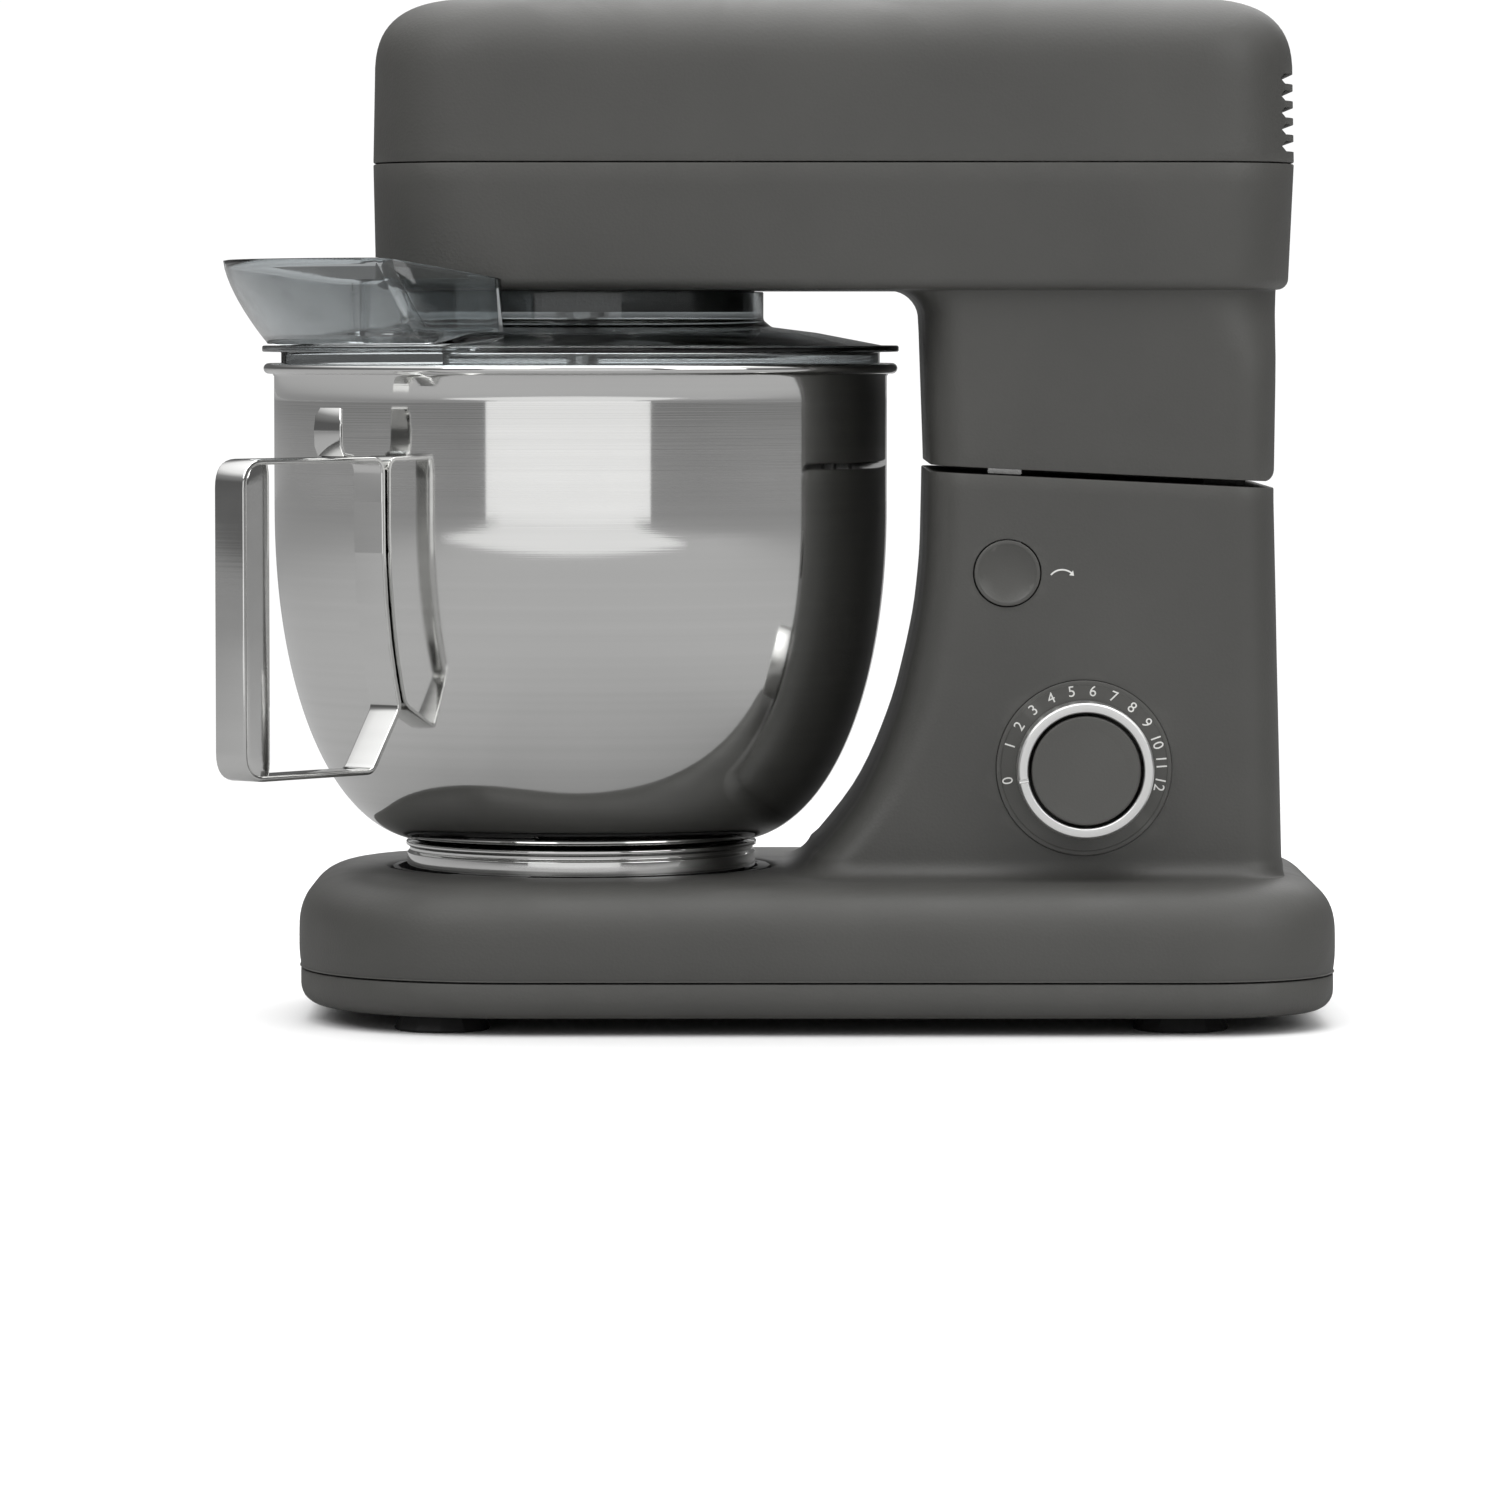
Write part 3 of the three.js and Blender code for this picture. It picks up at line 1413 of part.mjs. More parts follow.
function barBetween([u0, v0], [u1, v1]) {
  const path = new THREE.LineCurve3(
    new THREE.Vector3(0, u0 * beaterReach, frameBottom + v0 * frameHeight),
    new THREE.Vector3(0, u1 * beaterReach, frameBottom + v1 * frameHeight),
  );
  return sweep(path, barSection, 1);
}

function makeBeaterFrame() {
  const rim = sweep(beaterLoop(), barSection, 32);
  const knee = [-0.06, 0.5];
  const stem = barBetween([0, 1.08], knee);
  const leg = barBetween(knee, [-0.58, 0.13]);
  const branch = barBetween([-0.09, 0.46], [(0.72 * wiperSeat) / beaterReach, 0.25]);
  const kneeBall = barAcross(beaterBar / 2, -4, 4, { sides: 8 })
    .rotate([0, 0, 90])
    .translate([0, knee[0] * beaterReach, frameBottom + knee[1] * frameHeight]);
  const hub = turnedSolid(
    [
      [0, frameTop - 3],
      [7, frameTop - 3],
      [hubRadius, frameTop + 5],
      [hubRadius, shieldZ - 1],
      [shieldRadius, shieldZ - 0.8],
      [shieldRadius, shieldZ + 0.8],
      [hubRadius, shieldZ + 1.2],
      [hubRadius, hubTop],
      [0, hubTop],
    ],
    28,
  );
  const bore = disc(toolShaftRadius + gap, toolShaftBottom - 1, hubTop + 5, { sides: 16 });
  const slotLow = toolPinZ - pinRadius - gap;
  const slotHigh = toolPinZ + pinRadius + gap;
  const half = pinRadius + gap;
  const entry = block([-20, -half, slotLow], [20, half, hubTop + 5]);
  const lock = block([-20, -half - 4, slotLow], [20, half, slotHigh]);
  return cut(joined(rim, stem, leg, branch, kneeBall, hub), bore, entry, lock);
}
part(planetGroup, 'beater_frame', 'coated', makeBeaterFrame());

// The blade clips over the outside of the bar on its side of the frame.
function makeWiper() {
  const edge = [
    [0.2, 0.0],
    [0.62, 0.15],
    [0.86, 0.36],
    [1, 0.6],
    [0.99, 0.8],
    [0.78, 0.95],
    [0.48, 0.985],
  ];
  const at = ([u, v]) => new THREE.Vector2(u * wiperReach, frameBottom + v * frameHeight);
  const seat = [
    [0.5, 0.9],
    [0.62, 0.6],
    [0.5, 0.3],
    [0.24, 0.08],
  ];
  const outside = new THREE.SplineCurve(edge.map(at)).getPoints(12);
  const inside = new THREE.SplineCurve(seat.map(at)).getPoints(8);
  const blade = upright(new THREE.Shape([...outside, ...inside]), -2.6, 2.6).rotate([0, 0, 90]);
  const room = new THREE.Shape(
    [0, 1, 2, 3, 4, 5, 6, 7].map((corner) => {
      const angle = degrees(45 * corner + 22.5);
      const radius = beaterBar / 2 + gap;
      return new THREE.Vector2(radius * Math.cos(angle), radius * Math.sin(angle));
    }),
  );
  const kept = cut(blade, sweep(beaterLoop(), room, 32));
  const pieces = kept.decompose();
  return pieces.reduce((largest, piece) => (piece.volume() > largest.volume() ? piece : largest));
}
part(planetGroup, 'wiper_blade', 'silicone', makeWiper());

// ---------------------------------------------------------------------------------------------------------
// Origin: the middle of the footprint, on the table
// ---------------------------------------------------------------------------------------------------------

const extent = new THREE.Box3().setFromObject(mixer);
mixer.position.set(-(extent.min.x + extent.max.x) / 2, -(extent.min.y + extent.max.y) / 2, 0);
mixer.updateMatrixWorld(true);

export default mixer;
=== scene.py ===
"""Looks of a tilt-head stand mixer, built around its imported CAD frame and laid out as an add-on."""

import math

import bmesh
import bpy
from bpy.props import FloatProperty, FloatVectorProperty, IntProperty, PointerProperty
from mathutils import Matrix, Vector


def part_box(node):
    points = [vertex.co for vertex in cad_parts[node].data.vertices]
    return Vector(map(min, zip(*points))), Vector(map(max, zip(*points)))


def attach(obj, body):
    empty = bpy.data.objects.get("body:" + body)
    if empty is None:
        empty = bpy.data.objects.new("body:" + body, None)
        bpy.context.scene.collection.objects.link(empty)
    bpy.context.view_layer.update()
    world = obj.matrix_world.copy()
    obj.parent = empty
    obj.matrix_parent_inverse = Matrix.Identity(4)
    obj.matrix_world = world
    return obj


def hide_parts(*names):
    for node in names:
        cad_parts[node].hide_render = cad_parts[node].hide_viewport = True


bl_info = {
    "name": "Stand Mixer Looks",
    "version": (1, 0, 0),
    "blender": (4, 5, 0),
    "location": "3D View > Sidebar > Mixer",
    "description": "Builds the casings, bowl, guard, tool and finishes of a tilt-head stand mixer",
    "category": "Object",
}

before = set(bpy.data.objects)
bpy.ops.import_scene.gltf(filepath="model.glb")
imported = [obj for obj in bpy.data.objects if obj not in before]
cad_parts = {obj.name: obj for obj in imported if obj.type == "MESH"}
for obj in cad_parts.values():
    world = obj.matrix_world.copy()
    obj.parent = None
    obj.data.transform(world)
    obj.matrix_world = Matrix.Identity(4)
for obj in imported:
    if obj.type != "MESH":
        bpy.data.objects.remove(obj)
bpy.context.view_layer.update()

MM = 0.001
BOWL_LOW, BOWL_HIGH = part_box("bowl")
AXIS = Vector(((BOWL_LOW.x + BOWL_HIGH.x) / 2, (BOWL_LOW.y + BOWL_HIGH.y) / 2, 0))
BASE_LOW, BASE_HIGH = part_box("base_shell")
PAN_LOW, PAN_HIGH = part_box("base_pan")
HEAD_LOW, HEAD_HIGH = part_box("head_shell")
COVER_LOW, COVER_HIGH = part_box("head_cover")


def at(x, y, z):
    """A point given in millimetres from the bowl's axis and the table."""
    return Vector((AXIS.x + x * MM, AXIS.y + y * MM, z * MM))


def from_axis(point):
    """The reverse of at: millimetres from the bowl's axis."""
    return (point - AXIS) / MM


# ---------------------------------------------------------------------------------------------------------
# User settings
# ---------------------------------------------------------------------------------------------------------


def colour(name, description, default):
    return FloatVectorProperty(
        name=name, description=description, default=default, subtype="COLOR", size=3, min=0, max=1
    )


def length(name, description, millimetres):
    return FloatProperty(
        name=name, description=description, default=millimetres * MM, unit="LENGTH", subtype="DISTANCE", min=0
    )


class MixerColours(bpy.types.PropertyGroup):
    """Colours of the mixer's finishes"""

    casing: colour("Casing", "Matte moulded casings", (0.052, 0.0515, 0.048))
    coating: colour("Beater coating", "Non-stick coating of the beater", (0.095, 0.092, 0.082))
    smoke: colour("Guard tint", "Tint of the clear splash guard", (0.72, 0.75, 0.76))
    print: colour("Print", "Numbers on the dial and the mark beside the button", (0.62, 0.62, 0.6))
    rubber: colour("Rubber", "Feet and cord inlet", (0.012, 0.012, 0.012))
    floor: colour("Floor", "Studio floor", (0.9, 0.9, 0.9))


class MixerSizes(bpy.types.PropertyGroup):
    """Sizes of details that the frame doesn't hold"""

    wall: length("Casing wall", "Thickness of the moulded casings", 2.6)
    foot_fillet: length("Column fillet", "Fillet where the column meets the base", 7.0)
    guard_wall: length("Guard wall", "Thickness of the splash guard and its chute", 1.7)
    numeral: length("Numeral height", "Height of the numbers on the dial", 3.9)
    numerals: IntProperty(name="Last number", description="Highest number on the dial", default=12, min=1)
    grain: FloatProperty(
        name="Grain", description="Depth of the casings' fine grain", default=0.35, min=0, max=1,
    )


# ---------------------------------------------------------------------------------------------------------
# Mesh helpers
# ---------------------------------------------------------------------------------------------------------


def new_object(name, mesh):
    piece = bpy.data.objects.new(name.replace(" ", "_"), mesh)
    bpy.context.scene.collection.objects.link(piece)
    return piece


def mesh_from(name, build):
    """A mesh made by build(bm), with doubles merged and faces pointing outwards."""
    bm = bmesh.new()
    build(bm)
    bmesh.ops.remove_doubles(bm, verts=bm.verts, dist=1e-6)
    bmesh.ops.recalc_face_normals(bm, faces=bm.faces)
    mesh = bpy.data.meshes.new(name)
    bm.to_mesh(mesh)
    bm.free()
    return mesh


def shade(mesh, sharp_angle=32):
    """Smooth faces with the edges over an angle kept sharp."""
    bm = bmesh.new()
    bm.from_mesh(mesh)
    limit = math.radians(sharp_angle)
    for face in bm.faces:
        face.smooth = True
    for edge in bm.edges:
        edge.smooth = len(edge.link_faces) == 2 and edge.calc_face_angle(math.pi) < limit
    bm.to_mesh(mesh)
    bm.free()


def apply_modifiers(piece):
    """Replaces a piece's mesh by its evaluated one and removes its modifiers."""
    bpy.context.view_layer.update()
    evaluated = piece.evaluated_get(bpy.context.evaluated_depsgraph_get())
    mesh = bpy.data.meshes.new_from_object(evaluated)
    old = piece.data
    piece.modifiers.clear()
    piece.data = mesh
    mesh.name = old.name
    return piece


def solidify(piece, thickness, offset=-1):
    modifier = piece.modifiers.new("Wall", "SOLIDIFY")
    modifier.thickness = thickness
    modifier.offset = offset
    modifier.use_even_offset = True
    return apply_modifiers(piece)


def combine(piece, others, operation):
    """Cuts others out of piece, or joins them to it, and removes them."""
    for other in others:
        modifier = piece.modifiers.new("Boolean", "BOOLEAN")
        modifier.operation = operation
        modifier.solver = "EXACT"
        modifier.object = other
        apply_modifiers(piece)
        bpy.data.objects.remove(other)
    return piece


def cut(piece, *cutters):
    return combine(piece, cutters, "DIFFERENCE")


def join(piece, *others):
    return combine(piece, others, "UNION")


def merge(piece, *others):
    """Puts the meshes of others, which don't touch it, into piece."""
    bm = bmesh.new()
    for part in (piece, *others):
        bm.from_mesh(part.data)
    bm.to_mesh(piece.data)
    bm.free()
    for other in others:
        bpy.data.objects.remove(other)
    return piece


def finished(piece, material, body, slot, *replaced, sharp=32):
    """Shades a piece, gives it its material and body, and hides the CAD nodes that it stands for; slot is not
    used.
    """
    shade(piece.data, sharp)
    piece.data.materials.clear()
    piece.data.materials.append(material)
    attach(piece, body)
    if replaced:
        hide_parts(*replaced)
    return piece


def ring_faces(bm, rows, closed=True):
    """Quads between rows of vertices, each row going once round."""
    count = len(rows[0])
    span = count if closed else count - 1
    for lower, upper in zip(rows, rows[1:]):
        for i in range(span):
            j = (i + 1) % count
            bm.faces.new((lower[i], lower[j], upper[j], upper[i]))


def loft(name, rings, cap_start=False, cap_end=False):
    """A skin over rings with the same number of points."""

    def build(bm):
        rows = [[bm.verts.new(point) for point in ring] for ring in rings]
        ring_faces(bm, rows)
        if cap_start:
            bm.faces.new(reversed(rows[0]))
        if cap_end:
            bm.faces.new(rows[-1])

    return new_object(name, mesh_from(name, build))


def turned(name, profile, sides=128, centre=None, closed=True):
    """A profile of (radius, height) pairs in millimetres, turned about an upright axis."""
    centre = centre or AXIS

    def build(bm):
        rows = []
        for radius, height in profile:
            if radius < 1e-6:
                rows.append([bm.verts.new((centre.x, centre.y, height * MM))])
                continue
            row = []
            for i in range(sides):
                angle = 2 * math.pi * i / sides
                x = centre.x + radius * MM * math.cos(angle)
                y = centre.y + radius * MM * math.sin(angle)
                row.append(bm.verts.new((x, y, height * MM)))
            rows.append(row)
        pairs = list(zip(rows, rows[1:]))
        if closed:
            pairs.append((rows[-1], rows[0]))
        for lower, upper in pairs:
            if len(lower) == 1 and len(upper) == 1:
                continue
            for i in range(sides):
                j = (i + 1) % sides
                low_pair = [lower[i % len(lower)], lower[j % len(lower)]]
                high_pair = [upper[j % len(upper)], upper[i % len(upper)]]
                bm.faces.new(list(dict.fromkeys(low_pair + high_pair)))

    return new_object(name, mesh_from(name, build))


def turned_across(name, profile, centre, sides=96, closed=True):
    """The same about an axis along -Y through centre; heights run towards -Y."""
    piece = turned(name, profile, sides, Vector((0, 0, 0)), closed)
    piece.data.transform(Matrix.Translation(centre) @ Matrix.Rotation(math.pi / 2, 4, "X"))
    return piece


def rounded_profile(points, radii, steps=5):
    """A closed or open run of (r, z) points whose corners are rounded by arcs."""
    result = []
    count = len(points)
    for index, point in enumerate(points):
        radius = radii[index]
        if radius <= 0 or index in (0, count - 1):
            result.append(tuple(point))
            continue
        here = Vector(point)
        back = Vector(points[index - 1]) - here
        ahead = Vector(points[index + 1]) - here
        half = back.angle(ahead) / 2
        reach = min(radius / math.tan(half), back.length * 0.49, ahead.length * 0.49)
        start = here + back.normalized() * reach
        end = here + ahead.normalized() * reach
        for step in range(steps + 1):
            t = step / steps
            curved = start.lerp(here, t).lerp(here.lerp(end, t), t)
            result.append((curved.x, curved.y))
    return result


def block(name, low, high):
    """A box between two corners in millimetres from the bowl's axis, used to cut with."""
    low, high = at(*low), at(*high)

    def build(bm):
        bmesh.ops.create_cube(bm, size=1)
        bmesh.ops.scale(bm, vec=high - low, verts=bm.verts)
        bmesh.ops.translate(bm, vec=(low + high) / 2, verts=bm.verts)

    return new_object(name, mesh_from(name, build))


def rod(name, start, end, radius, sides=64):
    """A round bar between two points in metres, used to cut with."""

    def build(bm):
        span = end - start
        bmesh.ops.create_cone(
            bm, cap_ends=True, segments=sides, radius1=radius, radius2=radius, depth=span.length
        )
        turn = span.to_track_quat("Z", "Y").to_matrix().to_4x4()
        bm.transform(Matrix.Translation((start + end) / 2) @ turn)

    return new_object(name, mesh_from(name, build))


def outline(x0, x1, half, front, rear, z, arc_steps=12, edge_steps=6, squareness=2.25):
    """Points round a rounded rectangle seen from above, in millimetres; front and rear are corner
    radii (along X, along Y). z is a height or a function of x."""
    corners = [
        (x1 - rear[0], -half + rear[1], rear, -90),
        (x1 - rear[0], half - rear[1], rear, 0),
        (x0 + front[0], half - front[1], front, 90),
        (x0 + front[0], -half + front[1], front, 180),
    ]
    flat = []
    for index, (cx, cy, (rx, ry), start) in enumerate(corners):
        for step in range(arc_steps + 1):
            angle = math.radians(start + 90 * step / arc_steps)
            c, s = math.cos(angle), math.sin(angle)
            power = 2 / squareness
            x = cx + rx * math.copysign(abs(c) ** power, c)
            y = cy + ry * math.copysign(abs(s) ** power, s)
            flat.append((x, y))
        nx, ny, (nrx, nry), nstart = corners[(index + 1) % 4]
        angle = math.radians(nstart)
        following = (nx + nrx * round(math.cos(angle)), ny + nry * round(math.sin(angle)))
        last = flat[-1]
        for step in range(1, edge_steps):
            t = step / edge_steps
            flat.append((last[0] + (following[0] - last[0]) * t, last[1] + (following[1] - last[1]) * t))
    height = z if callable(z) else lambda _x: z
    return [at(x, y, height(x)) for x, y in flat]


def blend_rings(first, second, t):
    return [a.lerp(b, t) for a, b in zip(first, second)]


def mix(a, b, t):
    return a + (b - a) * t


# ---------------------------------------------------------------------------------------------------------
# Node helpers and the effects that materials share
# ---------------------------------------------------------------------------------------------------------


def add(tree, kind, inputs=None, **settings):
    """A node with its settings; an input is given as a value or as the socket that feeds it."""
    node = tree.nodes.new(kind)
    for key, value in settings.items():
        setattr(node, key, value)
    for key, value in (inputs or {}).items():
        if isinstance(value, bpy.types.NodeSocket):
            tree.links.new(value, node.inputs[key])
        else:
            node.inputs[key].default_value = value
    return node


def maths(tree, operation, first, second=0.0, clamp=False):
    return add(tree, "ShaderNodeMath", {0: first, 1: second}, operation=operation, use_clamp=clamp).outputs[0]


def spread(tree, value, low, high, to_low=0.0, to_high=1.0):
    """Maps a value from one range to another."""
    inputs = {"Value": value, "From Min": low, "From Max": high, "To Min": to_low, "To Max": to_high}
    return add(tree, "ShaderNodeMapRange", inputs).outputs["Result"]


def new_group(name, kind, inputs, outputs):
    tree = bpy.data.node_groups.new(name, kind)
    for label, socket, default in inputs:
        made = tree.interface.new_socket(label, in_out="INPUT", socket_type=socket)
        if default is not None:
            made.default_value = default
    for label, socket in outputs:
        tree.interface.new_socket(label, in_out="OUTPUT", socket_type=socket)
    entry = tree.nodes.new("NodeGroupInput").outputs
    leave = tree.nodes.new("NodeGroupOutput").inputs
    return tree, entry, leave


FLOAT = "NodeSocketFloat"
VECTOR = "NodeSocketVector"


def moulded_grain():
    """Fine spark-eroded grain of a moulding, and a broad, faint variation of tone."""
    tree, entry, leave = new_group(
        "Moulded Grain", "ShaderNodeTree",
        [("Vector", VECTOR, None), ("Scale", FLOAT, 900.0)],
        [("Height", FLOAT), ("Tone", FLOAT)],
    )
    pits = add(tree, "ShaderNodeTexVoronoi", {"Vector": entry["Vector"], "Scale": entry["Scale"]})
    fine = add(
        tree, "ShaderNodeTexNoise",
        {"Vector": entry["Vector"], "Scale": entry["Scale"], "Detail": 4.0, "Roughness": 0.6},
    )
    broad = add(tree, "ShaderNodeTexNoise", {"Vector": entry["Vector"], "Scale": 14.0, "Detail": 3.0})
    height = maths(tree, "MULTIPLY", pits.outputs["Distance"], fine.outputs[0])
    tree.links.new(height, leave["Height"])
    tree.links.new(spread(tree, broad.outputs[0], 0.35, 0.65), leave["Tone"])
    return tree


def turned_lines():
    """Fine rings left by turning or polishing about an axis through the origin of Vector."""
    tree, entry, leave = new_group(
        "Turned Lines", "ShaderNodeTree",
        [("Vector", VECTOR, None), ("Density", FLOAT, 2500.0)],
        [("Height", FLOAT), ("Streaks", FLOAT)],
    )
    place = add(tree, "ShaderNodeSeparateXYZ", {0: entry["Vector"]}).outputs
    squares = [maths(tree, "MULTIPLY", place[k], place[k]) for k in (0, 1)]
    square = maths(tree, "ADD", *squares)
    radius = maths(tree, "SQRT", square)
    angle = maths(tree, "ARCTAN2", place[1], place[0])
    rings = add(
        tree, "ShaderNodeCombineXYZ",
        {
            0: maths(tree, "MULTIPLY", radius, entry["Density"]),
            1: maths(tree, "MULTIPLY", place[2], entry["Density"]),
            2: angle,
        },
    )
    lines = add(tree, "ShaderNodeTexNoise", {"Vector": rings.outputs[0], "Scale": 1.0, "Detail": 2.0})
    coarse = add(tree, "ShaderNodeTexNoise", {"Vector": rings.outputs[0], "Scale": 0.12, "Detail": 3.0})
    tree.links.new(lines.outputs[0], leave["Height"])
    tree.links.new(spread(tree, coarse.outputs[0], 0.3, 0.7), leave["Streaks"])
    return tree


def handling_marks():
    """Soft patches where hands and cloths have dulled or polished a surface."""
    tree, entry, leave = new_group(
        "Handling Marks", "ShaderNodeTree",
        [("Vector", VECTOR, None), ("Scale", FLOAT, 22.0)],
        [("Mask", FLOAT), ("Specks", FLOAT)],
    )
    patches = add(
        tree, "ShaderNodeTexNoise",
        {"Vector": entry["Vector"], "Scale": entry["Scale"], "Detail": 5.0, "Distortion": 0.8},
    )
    dust = add(tree, "ShaderNodeTexNoise", {"Vector": entry["Vector"], "Scale": 700.0, "Detail": 1.0})
    tree.links.new(spread(tree, patches.outputs[0], 0.42, 0.68), leave["Mask"])
    tree.links.new(spread(tree, dust.outputs[0], 0.66, 0.72), leave["Specks"])
    return tree


def edge_wear():
    """Where sharp outer edges have been rubbed."""
    tree, entry, leave = new_group(
        "Edge Wear", "ShaderNodeTree",
        [("Vector", VECTOR, None), ("Reach", FLOAT, 0.06)],
        [("Mask", FLOAT)],
    )
    shape = add(tree, "ShaderNodeNewGeometry").outputs["Pointiness"]
    raised = spread(tree, shape, 0.505, maths(tree, "ADD", entry["Reach"], 0.505))
    broken = add(tree, "ShaderNodeTexNoise", {"Vector": entry["Vector"], "Scale": 120.0, "Detail": 4.0})
    tree.links.new(maths(tree, "MULTIPLY", raised, broken.outputs[0], clamp=True), leave["Mask"])
    return tree


EFFECTS = {}


def effect(tree, build, vector, **values):
    """Places a shared effect in a material with its own values; the group is built once."""
    if build.__name__ not in EFFECTS:
        EFFECTS[build.__name__] = build()
    node = add(tree, "ShaderNodeGroup", node_tree=EFFECTS[build.__name__])
    tree.links.new(vector, node.inputs["Vector"])
    for label, value in values.items():
        node.inputs[label].default_value = value
    return node.outputs


def start_material(name, centre=None, turn=(0, 0, 0)):
    """A material with its shader, and Object coordinates moved to a centre where a pattern needs one."""
    material = bpy.data.materials.new(name)
    material.use_nodes = True
    tree = material.node_tree
    shader = tree.nodes["Principled BSDF"]
    vector = add(tree, "ShaderNodeTexCoord").outputs["Object"]
    if centre is not None:
        inputs = {"Vector": vector, "Location": centre, "Rotation": turn}
        vector = add(tree, "ShaderNodeMapping", inputs, vector_type="TEXTURE").outputs[0]
    return material, tree, shader, vector


def shades(tree, mask, first, second):
    """A colour that runs from first to second with a mask."""
    node = add(tree, "ShaderNodeMix", data_type="RGBA")
    tree.links.new(mask, node.inputs["Factor"])
    node.inputs[6].default_value = (*first, 1.0)
    node.inputs[7].default_value = (*second, 1.0)
    return node.outputs[2]


def bump(tree, shader, height, depth, strength=1.0):
    node = add(tree, "ShaderNodeBump", {"Height": height, "Distance": depth, "Strength": strength})
    tree.links.new(node.outputs[0], shader.inputs["Normal"])


def lighter(tint, factor):
    return tuple(min(1.0, part * factor) for part in tint)


def moulded(name, tint, rough, depth, scale=900.0, wear=1.6):
    """A moulded plastic or rubber with grain, rubbed edges and patches of handling."""
    material, tree, shader, vector = start_material(name)
    grain = effect(tree, moulded_grain, vector, Scale=scale)
    marks = effect(tree, handling_marks, vector, Scale=16.0)
    worn = effect(tree, edge_wear, vector, Reach=0.08)
    tone = shades(tree, grain["Tone"], lighter(tint, 0.93), lighter(tint, 1.06))
    rubbed = add(tree, "ShaderNodeMix", data_type="RGBA")
    tree.links.new(worn["Mask"], rubbed.inputs["Factor"])
    tree.links.new(tone, rubbed.inputs[6])
    rubbed.inputs[7].default_value = (*lighter(tint, wear), 1.0)
    tree.links.new(rubbed.outputs[2], shader.inputs["Base Color"])
    tree.links.new(spread(tree, marks["Mask"], 0, 1, rough - 0.05, rough + 0.05), shader.inputs["Roughness"])
    bump(tree, shader, grain["Height"], depth)
    return material


def metal(name, tint, rough, centre, turn=(0, 0, 0), density=2500.0, depth=0.000003, shine=0.05):
    """A metal that was turned, spun or polished about an axis, with faint wiping marks."""
    material, tree, shader, vector = start_material(name, centre, turn)
    lines = effect(tree, turned_lines, vector, Density=density)
    marks = effect(tree, handling_marks, vector, Scale=18.0)
    blend = maths(tree, "MULTIPLY", lines["Streaks"], marks["Mask"])
    tree.links.new(shades(tree, lines["Streaks"], lighter(tint, 0.94), tint), shader.inputs["Base Color"])
    tree.links.new(spread(tree, blend, 0, 1, rough, rough + shine), shader.inputs["Roughness"])
    shader.inputs["Metallic"].default_value = 1.0
    bump(tree, shader, lines["Height"], depth)
    return material


def smoky_clear(name, tint):
    """Tinted clear plastic with faint scuffs."""
    material, tree, shader, vector = start_material(name)
    marks = effect(tree, handling_marks, vector, Scale=30.0)
    tree.links.new(spread(tree, marks["Mask"], 0, 1, 0.03, 0.09), shader.inputs["Roughness"])
    tree.links.new(shades(tree, marks["Mask"], tint, lighter(tint, 1.03)), shader.inputs["Base Color"])
    shader.inputs["IOR"].default_value = 1.45
    shader.inputs["Transmission Weight"].default_value = 1.0
    return material


def speckled(name, tint, rough, depth):
    """A non-stick coating: satin, faintly mottled, with fine pale specks."""
    material, tree, shader, vector = start_material(name)
    grain = effect(tree, moulded_grain, vector, Scale=520.0)
    marks = effect(tree, handling_marks, vector, Scale=26.0)
    worn = effect(tree, edge_wear, vector, Reach=0.1)
    specks = maths(tree, "MAXIMUM", maths(tree, "MULTIPLY", marks["Specks"], 0.5), worn["Mask"])
    tree.links.new(shades(tree, specks, tint, lighter(tint, 1.9)), shader.inputs["Base Color"])
    tree.links.new(spread(tree, marks["Mask"], 0, 1, rough - 0.06, rough + 0.06), shader.inputs["Roughness"])
    bump(tree, shader, grain["Height"], depth)
    return material


def wound(name, tint, axis_centre):
    """Enamelled wire wound in layers."""
    material, tree, shader, vector = start_material(name, axis_centre)
    waves = add(
        tree, "ShaderNodeTexWave", {"Vector": vector, "Scale": 320.0, "Distortion": 0.6, "Detail": 1.0},
        bands_direction="DIAGONAL",
    )
    marks = effect(tree, handling_marks, vector, Scale=60.0)
    tree.links.new(shades(tree, waves.outputs["Fac"], lighter(tint, 0.45), tint), shader.inputs["Base Color"])
    tree.links.new(spread(tree, marks["Mask"], 0, 1, 0.25, 0.4), shader.inputs["Roughness"])
    shader.inputs["Metallic"].default_value = 0.9
    bump(tree, shader, waves.outputs["Fac"], 0.0003)
    return material


def circuit_board(name):
    """A board with solder mask, traces and pads."""
    material, tree, shader, vector = start_material(name)
    cells = add(
        tree, "ShaderNodeTexVoronoi", {"Vector": vector, "Scale": 260.0, "Randomness": 0.35},
        distance="MANHATTAN", feature="F1",
    )
    pads = spread(tree, cells.outputs["Distance"], 0.16, 0.14)
    marks = effect(tree, handling_marks, vector, Scale=40.0)
    tree.links.new(shades(tree, pads, (0.01, 0.09, 0.035), (0.6, 0.6, 0.58)), shader.inputs["Base Color"])
    tree.links.new(spread(tree, marks["Mask"], 0, 1, 0.25, 0.4), shader.inputs["Roughness"])
    tree.links.new(pads, shader.inputs["Metallic"])
    bump(tree, shader, pads, 0.00005)
    return material


